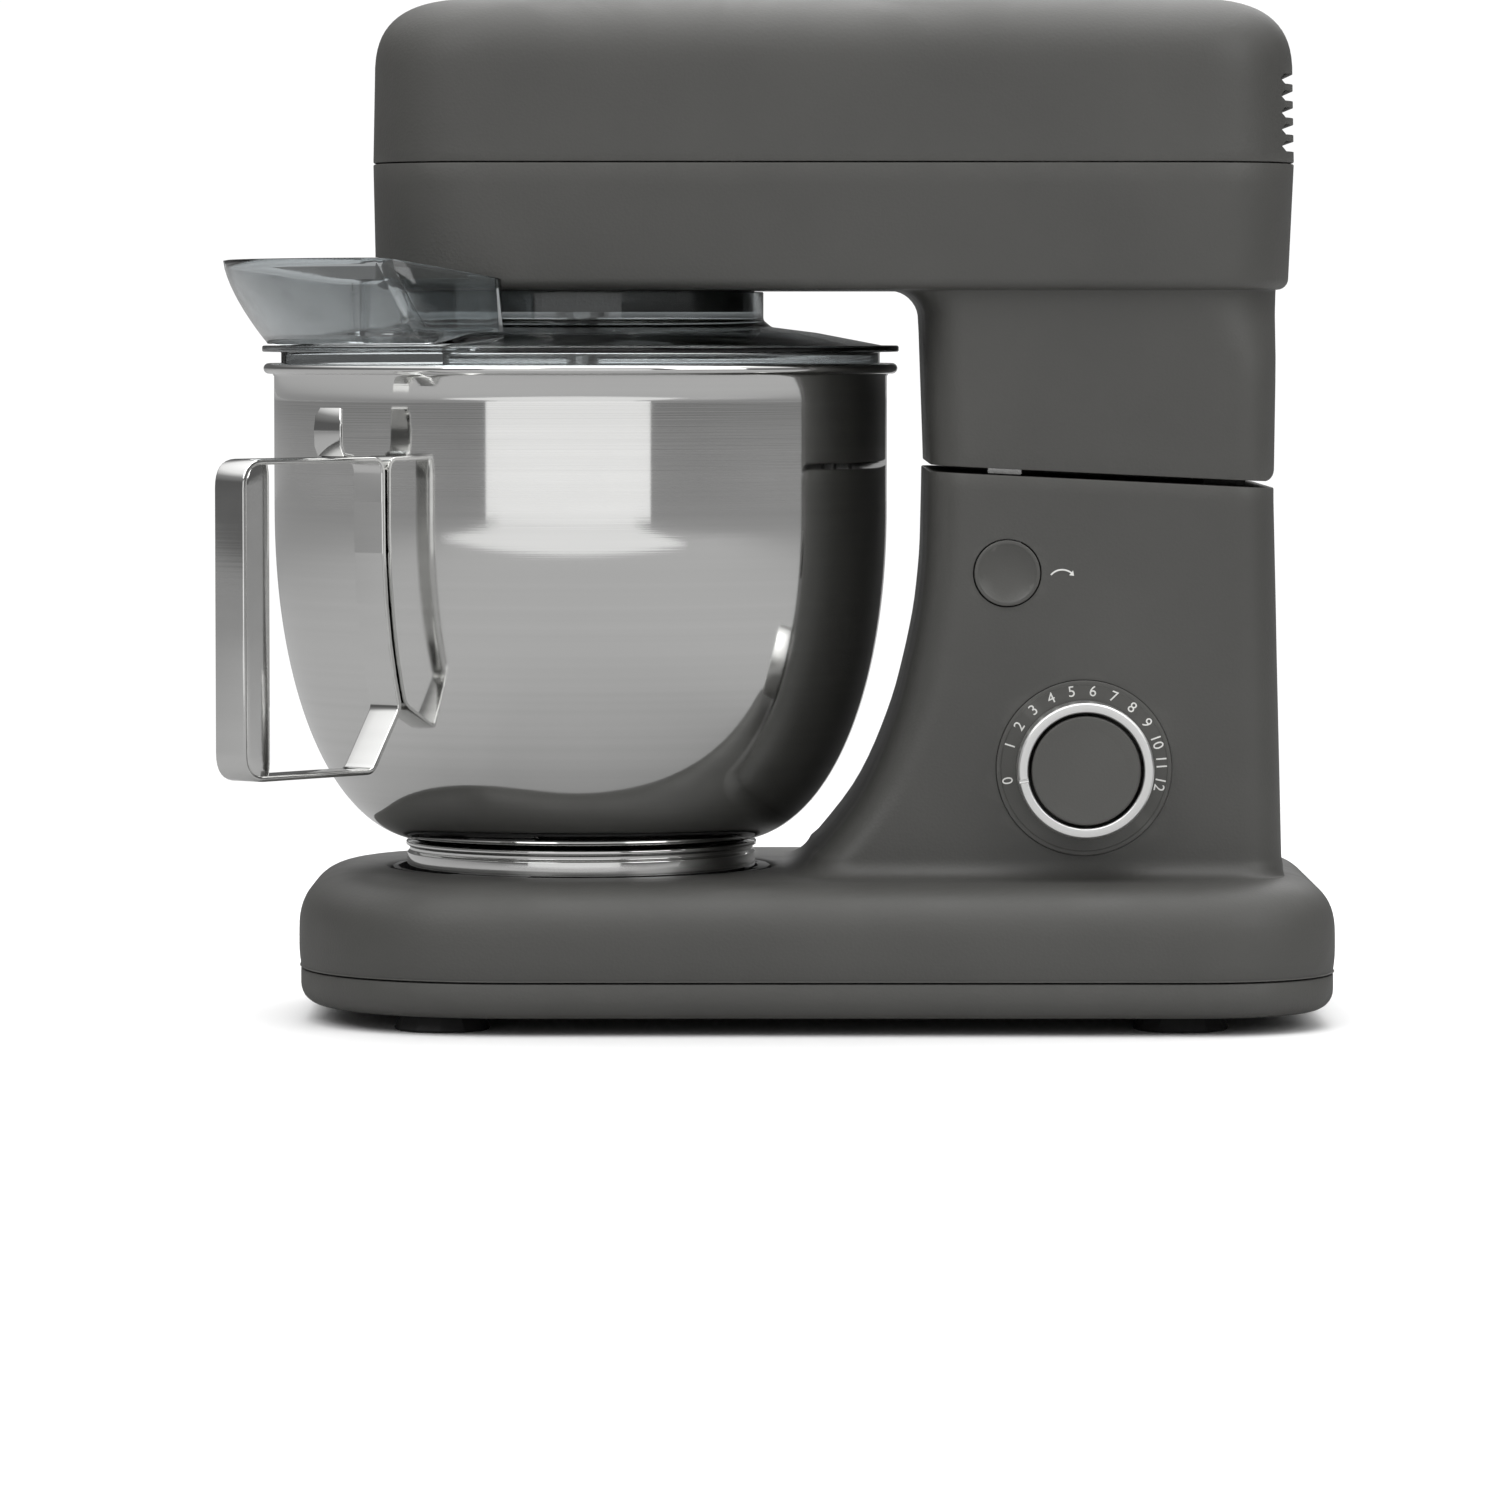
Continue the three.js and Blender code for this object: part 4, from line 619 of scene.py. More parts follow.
def plain_floor(name, tint):
    """Pale floor that fades out away from the object, and is dimmer in the object's own reflections."""
    material, tree, shader, vector = start_material(name)
    marks = effect(tree, handling_marks, vector, Scale=3.0)
    tree.links.new(shades(tree, marks["Mask"], tint, lighter(tint, 1.01)), shader.inputs["Base Color"])
    shader.inputs["Roughness"].default_value = 0.6
    reach = add(tree, "ShaderNodeVectorMath", {0: vector}, operation="LENGTH").outputs["Value"]
    tree.links.new(spread(tree, reach, FLOOR_FADE[0], FLOOR_FADE[1], 1.0, 0.0), shader.inputs["Alpha"])
    dim = add(tree, "ShaderNodeBsdfDiffuse", {"Color": (0.3, 0.3, 0.3, 1)})
    mirrored = add(tree, "ShaderNodeLightPath").outputs["Is Glossy Ray"]
    both = add(tree, "ShaderNodeMixShader", {0: mirrored, 1: shader.outputs[0], 2: dim.outputs[0]})
    tree.links.new(both.outputs[0], tree.nodes["Material Output"].inputs["Surface"])
    return material


FLOOR_FADE = (0.45, 1.5)
FINISHES = {}


def build_finishes(colours, sizes):
    """Every finish by its short name."""
    down_y = (math.pi / 2, 0, 0)
    dial_low, dial_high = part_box("knob_ring")
    dial = (dial_low + dial_high) / 2
    rotor_low, rotor_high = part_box("commutator")
    rotor = (rotor_low + rotor_high) / 2
    steel = (0.55, 0.55, 0.54)
    FINISHES.update(
        casing=moulded("Casing", tuple(colours.casing), 0.52, 0.00025 * sizes.grain),
        knob_face=moulded(
            "Knob Face", lighter(tuple(colours.casing), 1.12), 0.42, 0.00012 * sizes.grain, 1200.0,
        ),
        rubber=moulded("Rubber", tuple(colours.rubber), 0.7, 0.0001, 600.0),
        polished=metal("Polished Steel", (0.74, 0.74, 0.73), 0.06, AXIS, shine=0.05),
        strap=metal("Polished Strap", (0.74, 0.74, 0.73), 0.07, AXIS, shine=0.06, density=900.0),
        satin=metal("Satin Chrome", (0.86, 0.86, 0.85), 0.3, dial, down_y, 4000.0, 0.000006),
        smoky=smoky_clear("Smoky Clear", tuple(colours.smoke)),
        chute=smoky_clear("Chute Clear", lighter(tuple(colours.smoke), 1.18)),
        coated=speckled("Coated Tool", tuple(colours.coating), 0.42, 0.00006),
        silicone=moulded("Silicone", (0.022, 0.022, 0.022), 0.5, 0.00005, 500.0),
        steel=metal("Machined Steel", steel, 0.25, rotor, density=1500.0, depth=0.00001),
        shafts=metal("Ground Shafts", steel, 0.2, AXIS, density=1500.0, depth=0.00001),
        copper=wound("Wound Copper", (0.72, 0.3, 0.12), rotor),
        nylon=moulded("Nylon", (0.66, 0.62, 0.52), 0.4, 0.00008, 400.0, wear=1.1),
        black_plastic=moulded("Black Plastic", (0.02, 0.02, 0.02), 0.45, 0.0001, 700.0),
        circuit=circuit_board("Circuit Board"),
        print=moulded("Dial Print", tuple(colours.print), 0.6, 0.00002, 900.0, wear=1.0),
        floor=plain_floor("Studio Floor", tuple(colours.floor)),
    )


# ---------------------------------------------------------------------------------------------------------
# Base and column
# ---------------------------------------------------------------------------------------------------------

BASE_X0, BASE_X1 = from_axis(BASE_LOW).x, from_axis(BASE_HIGH).x
BASE_HALF = (BASE_HIGH.y - BASE_LOW.y) / 2 / MM
BASE_CORNERS = ((85, 85), (55, 55))
BASE_SEAM = 19.35
BASE_TOP = 53.7
COLUMN_HALF = 73
COLUMN_CORNERS = ((16, 22), (16, 22))
COLUMN_TOP = BASE_HIGH.z / MM
COLUMN_FRONT = [
    (53.7, 79.0), (56, 80.5), (59.6, 84.6), (69, 92), (76, 98), (86, 104), (98, 109.4),
    (114, 115.3), (132, 119.7), (147, 122.7), (166.5, 124.7), (199, 125.4),
]
COLUMN_REAR = [(53.7, 253.0), (57, 252.4), (132, 250.4), (194, 249)]
RECESS_RADIUS = 69.4
RECESS_FLOOR = 44.0
SLOPE = 6 / 124


def along(table, height):
    """A smooth value from a table of (height, value) rows."""
    if height <= table[0][0]:
        return table[0][1]
    for (z0, v0), (z1, v1) in zip(table, table[1:]):
        if height <= z1:
            return mix(v0, v1, (height - z0) / (z1 - z0))
    return table[-1][1]


def smoothed(table, height, window=9.0):
    """The same, averaged over a few millimetres so that a loft through it has no kinks."""
    samples = [along(table, height + window * k / 6) for k in range(-6, 7)]
    weights = [7 - abs(k) for k in range(-6, 7)]
    return sum(s * w for s, w in zip(samples, weights)) / sum(weights)


def base_outline(inset, z):
    (front, _), (rear, _) = BASE_CORNERS
    front_radius, rear_radius = front - inset, rear - inset
    return outline(
        BASE_X0 + inset, BASE_X1 - inset, BASE_HALF - inset,
        (front_radius, front_radius), (rear_radius, rear_radius), z, arc_steps=20, edge_steps=10,
    )


def column_outline(spread_by, z, level):
    """The column's plan at a level, grown by spread_by; z may follow x."""
    (fx, fy), (rx, ry) = COLUMN_CORNERS
    return outline(
        smoothed(COLUMN_FRONT, level) - spread_by, along(COLUMN_REAR, level) + min(spread_by, 0.5),
        COLUMN_HALF + spread_by, (fx + spread_by, fy + spread_by), (rx + spread_by, ry + spread_by),
        z, arc_steps=20, edge_steps=10,
    )


def base_solid(name, inset, bottom):
    """The base's outer form, or with an inset the space inside it."""
    seam = 0.0 if inset else 0.5
    rings = [base_outline(seam + inset, bottom), base_outline(seam * 0.3 + inset, bottom + seam * 0.3)]
    for z in (bottom + 0.5, 22, 25, 28, 31.7):
        rings.append(base_outline(inset + 0.8 * (max(0, 27 - z) / 8) ** 2, z))
    reach, rise, power = 24 - inset, BASE_TOP - inset - 31.7, 2.6
    steps = 16
    for step in range(1, steps + 1):
        angle = math.radians(90 * step / steps)
        edge = inset + reach * (1 - math.cos(angle) ** (2 / power))
        rings.append(base_outline(edge, 31.7 + rise * math.sin(angle) ** (2 / power)))
    return loft(name, rings, True, True)


def column_solid(name, inset, bottom, fillet):
    """The column's outer form, flared into the base's top, or with an inset the space inside it."""
    rings = [column_outline(fillet - inset, bottom, BASE_TOP)]
    steps = 10
    for step in range(steps + 1):
        angle = math.radians(90 * step / steps)
        flare = fillet * (1 - math.sin(angle)) - inset
        height = BASE_TOP - 0.05 + fillet * (1 - math.cos(angle))
        rings.append(column_outline(flare, height, BASE_TOP + 6 * step / steps))
    for k in range(25):
        level = 63 + 5.4 * k
        share = max(0.0, (level - 150) / (198 - 150))
        rings.append(column_outline(-inset, lambda x: level - share * (x - 125) * SLOPE, level))
    lift = -inset
    for level, pull, drop in ((197, 0, 0.5), (197.5, 0.15, 0.15), (198, 0.5, 0)):
        pull, drop = (0, 0) if inset else (pull, drop)
        top = COLUMN_TOP + lift - drop
        rings.append(column_outline(-inset - pull, lambda x: top - (x - 125) * SLOPE, level))
    return loft(name, rings, True, True)


def base_and_column(sizes):
    wall = sizes.wall / MM
    fillet = sizes.foot_fillet / MM
    skin = base_solid("Base and Column", 0.0, BASE_SEAM)
    join(skin, column_solid("Column", 0.0, BASE_TOP - 12, fillet))
    space = base_solid("Base Space", wall, BASE_SEAM - 6)
    join(space, column_solid("Column Space", wall, BASE_TOP - 14, 0.0))
    return cut(skin, space, recess_opening())


def recess_opening():
    """What is cut from the base's top for the bowl's foot: a straight hole with a rounded upper edge."""
    across, deep, steps = 3.1, 2.4, 8
    profile = [(0, 30), (RECESS_RADIUS, 30), (RECESS_RADIUS, BASE_TOP - deep)]
    for step in range(1, steps + 1):
        angle = math.radians(90 * step / steps)
        radius = RECESS_RADIUS + across * (1 - math.cos(angle))
        profile.append((radius, BASE_TOP - deep * (1 - math.sin(angle))))
    profile += [(RECESS_RADIUS + across, 70), (0, 70)]
    return turned("Opening", profile, 160, closed=False)


def bowl_recess(sizes):
    """The cup that the bowl's foot drops into."""
    wall = sizes.wall / MM
    inner, floor, top = RECESS_RADIUS - 0.1, RECESS_FLOOR, BASE_TOP - 2.5
    corners = [(0, floor), (inner, floor), (inner, top), (inner + wall, top), (inner + wall, floor - wall)]
    profile = rounded_profile([*corners, (0, floor - wall)], [0, 2.2, 0.1, 0.1, 3, 0], 4)
    return turned("Bowl Recess", profile, 160, closed=False)


def side_holes():
    """Cuts for the dial, the release button and the cord inlet."""
    dial_low, dial_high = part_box("number_disc")
    dial = (dial_low + dial_high) / 2
    button_low, button_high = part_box("tilt_button")
    button = (button_low + button_high) / 2
    gland_low, gland_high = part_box("cord_gland")
    gland = (gland_low + gland_high) / 2
    out = Vector((0, 0.012, 0))
    side = Vector((0, at(0, -COLUMN_HALF, 0).y, 0))
    dial_radius = (dial_high.x - dial_low.x) / 2 + 0.0002
    button_radius = (button_high.z - button_low.z) / 2 + 0.0005
    holes = []
    for name, centre, radius in (("Dial Hole", dial, dial_radius), ("Button Hole", button, button_radius)):
        middle = Vector((centre.x, side.y, centre.z))
        holes.append(rod(name, middle - out, middle + out, radius, 96))
    gland_radius = (gland_high.z - gland_low.z) / 2 * 0.8
    reach = Vector((0.02, 0, 0))
    rear = Vector((BASE_HIGH.x, gland.y, gland.z))
    holes.append(rod("Inlet Hole", rear - reach, rear + reach, gland_radius, 48))
    return holes


class MIXER_OT_base(bpy.types.Operator):
    """Base and column in one moulding, with the bowl's recess"""

    bl_idname = "mixer.base"
    bl_label = "Base and Column"

    def execute(self, context):
        sizes = context.scene.mixer_sizes
        body = base_and_column(sizes)
        cut(body, *side_holes())
        recess = bowl_recess(sizes)
        merge(body, recess)
        finished(body, FINISHES["casing"], "stand", "casing", "base_shell")
        return {"FINISHED"}


class MIXER_OT_pan(bpy.types.Operator):
    """Pan that closes the base from below"""

    bl_idname = "mixer.pan"
    bl_label = "Base Pan"

    def execute(self, context):
        low, high = PAN_LOW.z / MM, PAN_HIGH.z / MM
        rings = []
        for step in range(9):
            angle = math.radians(90 * step / 8)
            rings.append(base_outline(0.6 + 7 * (1 - math.sin(angle)), low + 7 * (1 - math.cos(angle))))
        rings.append(base_outline(0.6, high - 0.6))
        rings.append(base_outline(0.8, high - 0.2))
        rings.append(base_outline(1.2, high))
        rings.append(base_outline(4.2, high))
        rings.append(base_outline(4.2, low + 5))
        pan = loft("Base Pan", rings, cap_start=True, cap_end=True)
        screws = [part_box(f"pan_screw_{k}") for k in range(1, 5)]
        holes = []
        for lower, upper in screws:
            middle = (lower + upper) / 2
            start, end = Vector((middle.x, middle.y, 0)), Vector((middle.x, middle.y, high * MM + 0.01))
            holes.append(rod("Screw Hole", start, end, (upper.x - lower.x) / 2 + 0.0004, 32))
        cut(pan, *holes)
        finished(pan, FINISHES["casing"], "stand", "casing", "base_pan")
        return {"FINISHED"}


# ---------------------------------------------------------------------------------------------------------
# Head
# ---------------------------------------------------------------------------------------------------------

HEAD_X0, HEAD_X1 = from_axis(COVER_LOW).x, from_axis(COVER_HIGH).x
HEAD_HALF = (COVER_HIGH.y - COVER_LOW.y) / 2 / MM
HEAD_CORNERS = ((45, 45), (40, 40))
HEAD_SEAM = 308.0
HEAD_BOTTOM = 263.0
HEAD_TOP = COVER_HIGH.z / MM
NECK_FRONT = [(201.7, 125.9), (235, 124.7), (252.6, 124.1), (263, 122.8)]
NECK_REAR = [(194, 249), (253.7, 249.8), (263, 250.3)]
NECK_TOP_CORNER = 36
HUB_HOLE = 63.6


def head_outline(inset, z, front_more=0.0, rear_more=0.0):
    (front, _), (rear, _) = HEAD_CORNERS
    f, r = max(front - inset, 4), max(rear - inset, 4)
    return outline(
        HEAD_X0 + inset + front_more, HEAD_X1 - inset - rear_more, HEAD_HALF - inset, (f, f), (r, r), z,
        arc_steps=16, edge_steps=10, squareness=2.3,
    )


def cover_solid(name, inset, bottom):
    """The cover's outer form, or with an inset the space inside it."""
    seam = 0.0 if inset else 0.5
    rings = [head_outline(seam + inset, bottom), head_outline(0.3 * seam + inset, bottom + 0.3 * seam)]
    shoulder, reach, power = 337, 40 - inset, 2.9
    rise = HEAD_TOP - inset - shoulder - 1
    for z in (bottom + 0.5, 312, 318, 325, 331, shoulder):
        rings.append(head_outline(inset + max(0, z - HEAD_SEAM) / 29 * 0.6, z))
    steps = 18
    for step in range(1, steps + 1):
        angle = math.radians(90 * step / steps)
        edge = inset + 0.6 + reach * (1 - math.cos(angle) ** (2 / power))
        rings.append(head_outline(edge, shoulder + rise * math.sin(angle) ** (2 / power)))
    for t in (0.3, 0.6, 0.85):
        crown = HEAD_TOP - inset - (1 - t) ** 2
        rings.append(head_outline(0.6 + 40 + (HEAD_HALF - 44) * t, crown))
    return loft(name, rings, True, True)


def head_cover(sizes):
    cover = cover_solid("Head Cover", 0.0, HEAD_SEAM + 0.2)
    return cut(cover, cover_solid("Cover Space", sizes.wall / MM, HEAD_SEAM - 6))


def neck_outline(spread_by, z, level):
    """The neck's plan at a level; its rear corners round off to meet the head's."""
    (fx, fy), (rx, ry) = COLUMN_CORNERS
    near_head = max(0.0, min(1.0, (level - 238) / (HEAD_BOTTOM - 238)))
    rear = (mix(rx, NECK_TOP_CORNER, near_head), mix(ry, NECK_TOP_CORNER, near_head))
    return outline(
        smoothed(NECK_FRONT, level, 3) - spread_by, smoothed(NECK_REAR, level, 3) + min(spread_by, 0),
        COLUMN_HALF + min(spread_by, abs(spread_by) * 0.2), (fx + spread_by, fy + spread_by), rear, z,
        arc_steps=16, edge_steps=10, squareness=2.3,
    )


def shell_solid(name, inset, top):
    """The lower casing's outer form with its neck, or with an inset the space inside it."""
    seam = 0.0 if inset else 0.5
    rings = [head_outline(seam + inset, top), head_outline(0.3 * seam + inset, top - 0.3 * seam)]
    corner, bottom = 4.0, HEAD_BOTTOM + inset
    for z in (top - 0.5, 300, 290, 280, 272, bottom + corner):
        fall = max(0, HEAD_SEAM - z)
        rings.append(head_outline(inset + fall * 0.02, z, 0, fall * 0.025))
    fall = HEAD_SEAM - bottom - corner
    steps = 6
    for step in range(1, steps + 1):
        angle = math.radians(90 * step / steps)
        edge = inset + fall * 0.02 + corner * (1 - math.cos(angle))
        rings.append(head_outline(edge, bottom + corner * (1 - math.sin(angle)), 0, fall * 0.025))
    fillet = 9.0
    foot = neck_outline(fillet - inset, bottom, bottom)
    rings.append(blend_rings(rings[-1], foot, 0.5))
    rings.append(foot)
    for step in range(1, 9):
        angle = math.radians(90 * step / 8)
        level = bottom - fillet * (1 - math.cos(angle))
        rings.append(neck_outline(fillet * (1 - math.sin(angle)) - inset, level, level))
    for level in (248, 240, 232, 224, 216, 208):
        share = (250 - level) / 50
        rings.append(neck_outline(-inset, lambda x: level - share * (x - 125) * SLOPE, level))
    lower = 6 if inset else 0
    for pull, lift in ((0, seam), (0.3 * seam, 0.3 * seam), (seam, 0)):
        rings.append(
            neck_outline(-inset - pull, lambda x: 200.7 - (x - 125) * SLOPE + lift - lower, 201)
        )
    return loft(name, rings, True, True)


def tilt_edge(radius=5.0, beyond=3.0, steps=8):
    """What is cut from the neck's rear lower edge, so that it clears the column as the head tilts."""
    rear, bottom = NECK_REAR[0][1], 200.7 - (NECK_REAR[0][1] - 125) * SLOPE
    edge = [(rear + beyond, bottom + radius)]
    for step in range(steps + 1):
        angle = math.radians(-90 * step / steps)
        edge.append((rear - radius + radius * math.cos(angle), bottom + radius + radius * math.sin(angle)))
    edge += [(rear - radius, bottom - beyond), (rear + beyond, bottom - beyond)]
    rows = [[at(x, y, z) for x, z in edge] for y in (-100, 100)]
    return loft("Tilt Edge", rows, True, True)


def head_shell(sizes):
    shell = shell_solid("Lower Head Casing", 0.0, HEAD_SEAM - 0.2)
    space = shell_solid("Shell Space", sizes.wall / MM, HEAD_SEAM + 6)
    hub = rod("Hub Hole", at(0, 0, 250), at(0, 0, 280), HUB_HOLE * MM, 128)
    return cut(shell, space, hub, tilt_edge())


class MIXER_OT_head(bpy.types.Operator):
    """Upper and lower casings of the tilting head"""

    bl_idname = "mixer.head"
    bl_label = "Head Casings"

    def execute(self, context):
        sizes = context.scene.mixer_sizes
        finished(head_cover(sizes), FINISHES["casing"], "head", "casing", "head_cover")
        finished(head_shell(sizes), FINISHES["casing"], "head", "casing", "head_shell")
        return {"FINISHED"}


# ---------------------------------------------------------------------------------------------------------
# Bowl with its foot ring and handle
# ---------------------------------------------------------------------------------------------------------

BOWL_RADIUS = 111.6
BOWL_WALL = 1.2
BOWL_FLOOR = BOWL_LOW.z / MM
RIM_TOP = BOWL_HIGH.z / MM
RIM_RADIUS = (BOWL_HIGH.x - BOWL_LOW.x) / 2 / MM
BEAD = (RIM_RADIUS - BOWL_RADIUS) / 2
SHOULDER = RIM_TOP - 51.6
FLOOR_RADIUS = 55.7
FULLNESS = 2.15  # power of the curve from the floor to the shoulder; 2 is a plain ellipse


def bowl_radius(z):
    """Outside radius of the bowl at a height."""
    down = min(max((SHOULDER - z) / (SHOULDER - BOWL_FLOOR), 0.0), 1.0)
    return FLOOR_RADIUS + (BOWL_RADIUS - FLOOR_RADIUS) * (1 - down**FULLNESS) ** (1 / FULLNESS)


def bowl_wall(inset, steps):
    """Wall points from the floor up to the shoulder and on up the straight wall."""
    points = []
    for step in range(steps + 1):
        angle = math.pi / 2 * step / steps
        out, down = max(math.sin(angle), 0.0) ** (2 / FULLNESS), max(math.cos(angle), 0.0) ** (2 / FULLNESS)
        radius = FLOOR_RADIUS - inset + (BOWL_RADIUS - FLOOR_RADIUS) * out
        points.append((radius, SHOULDER - (SHOULDER - BOWL_FLOOR - inset) * down))
    points += [(BOWL_RADIUS - inset, SHOULDER + rise) for rise in (6, 14, 22, 30, 38)]
    return points


def rim_bead(steps=18):
    """The rolled rim, from the outer wall round to the inner wall."""
    centre_z = RIM_TOP - BEAD
    points = [(BOWL_RADIUS, centre_z - BEAD * 1.5)]
    for step in range(steps + 1):
        angle = math.radians(-125 + 235 * step / steps)
        points.append((BOWL_RADIUS + BEAD + BEAD * math.cos(angle), centre_z + BEAD * math.sin(angle)))
    points.append((BOWL_RADIUS - BOWL_WALL * 0.5, RIM_TOP - 0.5))
    points.append((BOWL_RADIUS - BOWL_WALL, RIM_TOP - 1.6))
    return points


class MIXER_OT_bowl(bpy.types.Operator):
    """Spun steel bowl with a rolled rim, and its foot ring"""

    bl_idname = "mixer.bowl"
    bl_label = "Bowl and Foot Ring"

    def execute(self, context):
        steps = 40
        profile = [(0, BOWL_FLOOR), *bowl_wall(0, steps), *rim_bead()]
        profile += reversed(bowl_wall(BOWL_WALL, steps))
        profile.append((0, BOWL_FLOOR + BOWL_WALL))
        bowl = turned("Bowl", profile, 192, closed=False)
        finished(bowl, FINISHES["polished"], "bowl", "polished", "bowl", sharp=40)
        self.foot_ring()
        return {"FINISHED"}

    def foot_ring(self):
        foot_low, foot_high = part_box("bowl_foot")
        bottom, top = foot_low.z / MM, foot_high.z / MM
        outer, wall = 63.6, 1.6
        corners = [
            (outer - wall, bottom), (outer, bottom), (outer, top - 4.2), (outer - 0.9, top - 3.2),
            (outer - 0.9, top - 2.0), (outer + 0.4, top - 1.4), (outer + 0.4, top),
            (outer - wall - 3, top), (outer - wall, top - 2.4), (outer - wall, bottom),
        ]
        profile = rounded_profile(corners, [0, 0.6, 0.5, 0.4, 0.4, 0.5, 0.5, 0.5, 0.5, 0], 4)
        ring = turned("Bowl Foot Ring", profile, 160, closed=True)
        count, width = 3, 30
        lugs = [foot_lug(k * 360 / count, width, outer, bottom) for k in range(count)]
        merge(ring, *lugs)
        finished(ring, FINISHES["polished"], "bowl", "polished", "bowl_foot")


def foot_lug(middle, width, radius, bottom, reach=2.3, height=2.4, steps=12):
    """A bayonet lug pressed out of the foot ring."""

    def build(bm):
        rows = []
        for step in range(steps + 1):
            angle = math.radians(middle - width / 2 + width * step / steps)
            end = abs(2 * step / steps - 1) ** 8
            out = radius + reach * (1 - end * 0.6)
            top = bottom + height
            row = [(radius - 0.8, bottom), (out, bottom + 0.3), (out, top - 0.3), (radius - 0.8, top)]
            rows.append([bm.verts.new(at(r * math.cos(angle), r * math.sin(angle), z)) for r, z in row])
        ring_faces(bm, rows)
        bm.faces.new(rows[0])
        bm.faces.new(reversed(rows[-1]))

    return new_object("Lug", mesh_from("Lug", build))


def strap_loop(name, path, half_width, thickness, direction, tangent, round_by=0.35, closed=True):
    """A flat strap swept along a path of (radius, height) points in an upright plane through the axis."""
    count = len(path)

    def build(bm):
        rows = []
        for index, (r, z) in enumerate(path):
            back = path[index - 1] if closed or index else path[0]
            ahead = path[(index + 1) % count] if closed or index < count - 1 else path[-1]
            run = Vector((ahead[0] - back[0], ahead[1] - back[1])).normalized()
            normal = Vector((run.y, -run.x))
            width = half_width(index / count) if callable(half_width) else half_width
            section = []
            for across, out in section_points(width, thickness / 2, round_by):
                radius, height = r + normal.x * out, z + normal.y * out
                flat = direction * radius + tangent * across
                section.append(bm.verts.new(at(flat.x, flat.y, height)))
            rows.append(section)
        if closed:
            rows.append(rows[0])
        ring_faces(bm, rows)
        if not closed:
            bm.faces.new(rows[0])
            bm.faces.new(reversed(rows[-1]))

    return new_object(name, mesh_from(name, build))


def section_points(half, thick, round_by, steps=3):
    """A small rounded rectangle: (across, out) pairs."""
    points = []
    r = min(thick * 0.95, thick * 2 * round_by)
    corners = [
        (half - r, thick - r, 0), (-half + r, thick - r, 90),
        (-half + r, -thick + r, 180), (half - r, -thick + r, 270),
    ]
    for cx, cy, start in corners:
        for step in range(steps + 1):
            angle = math.radians(start + 90 * step / steps)
            points.append((cx + r * math.cos(angle), cy + r * math.sin(angle)))
    return points


def rounded_loop(points, radii, steps=8):
    """A closed run of points with its corners rounded, evenly enough spaced for a sweep."""
    count = len(points)
    result = []
    for index in range(count):
        here = Vector(points[index])
        back = Vector(points[index - 1]) - here
        ahead = Vector(points[(index + 1) % count]) - here
        radius = radii[index]
        if radius <= 0:
            result.append(tuple(here))
            continue
        half = back.angle(ahead) / 2
        reach = min(radius / math.tan(half), back.length * 0.48, ahead.length * 0.48)
        start, end = here + back.normalized() * reach, here + ahead.normalized() * reach
        for step in range(steps + 1):
            t = step / steps
            curved = start.lerp(here, t).lerp(here.lerp(end, t), t)
            result.append(tuple(curved))
    return result


HANDLE_ANGLE = 230
HANDLE_REACH = 184.5
HANDLE_TOP = 204.0
HANDLE_BOTTOM = 92.0
STRAP = 2.0
GRIP_DEPTH = 15.0


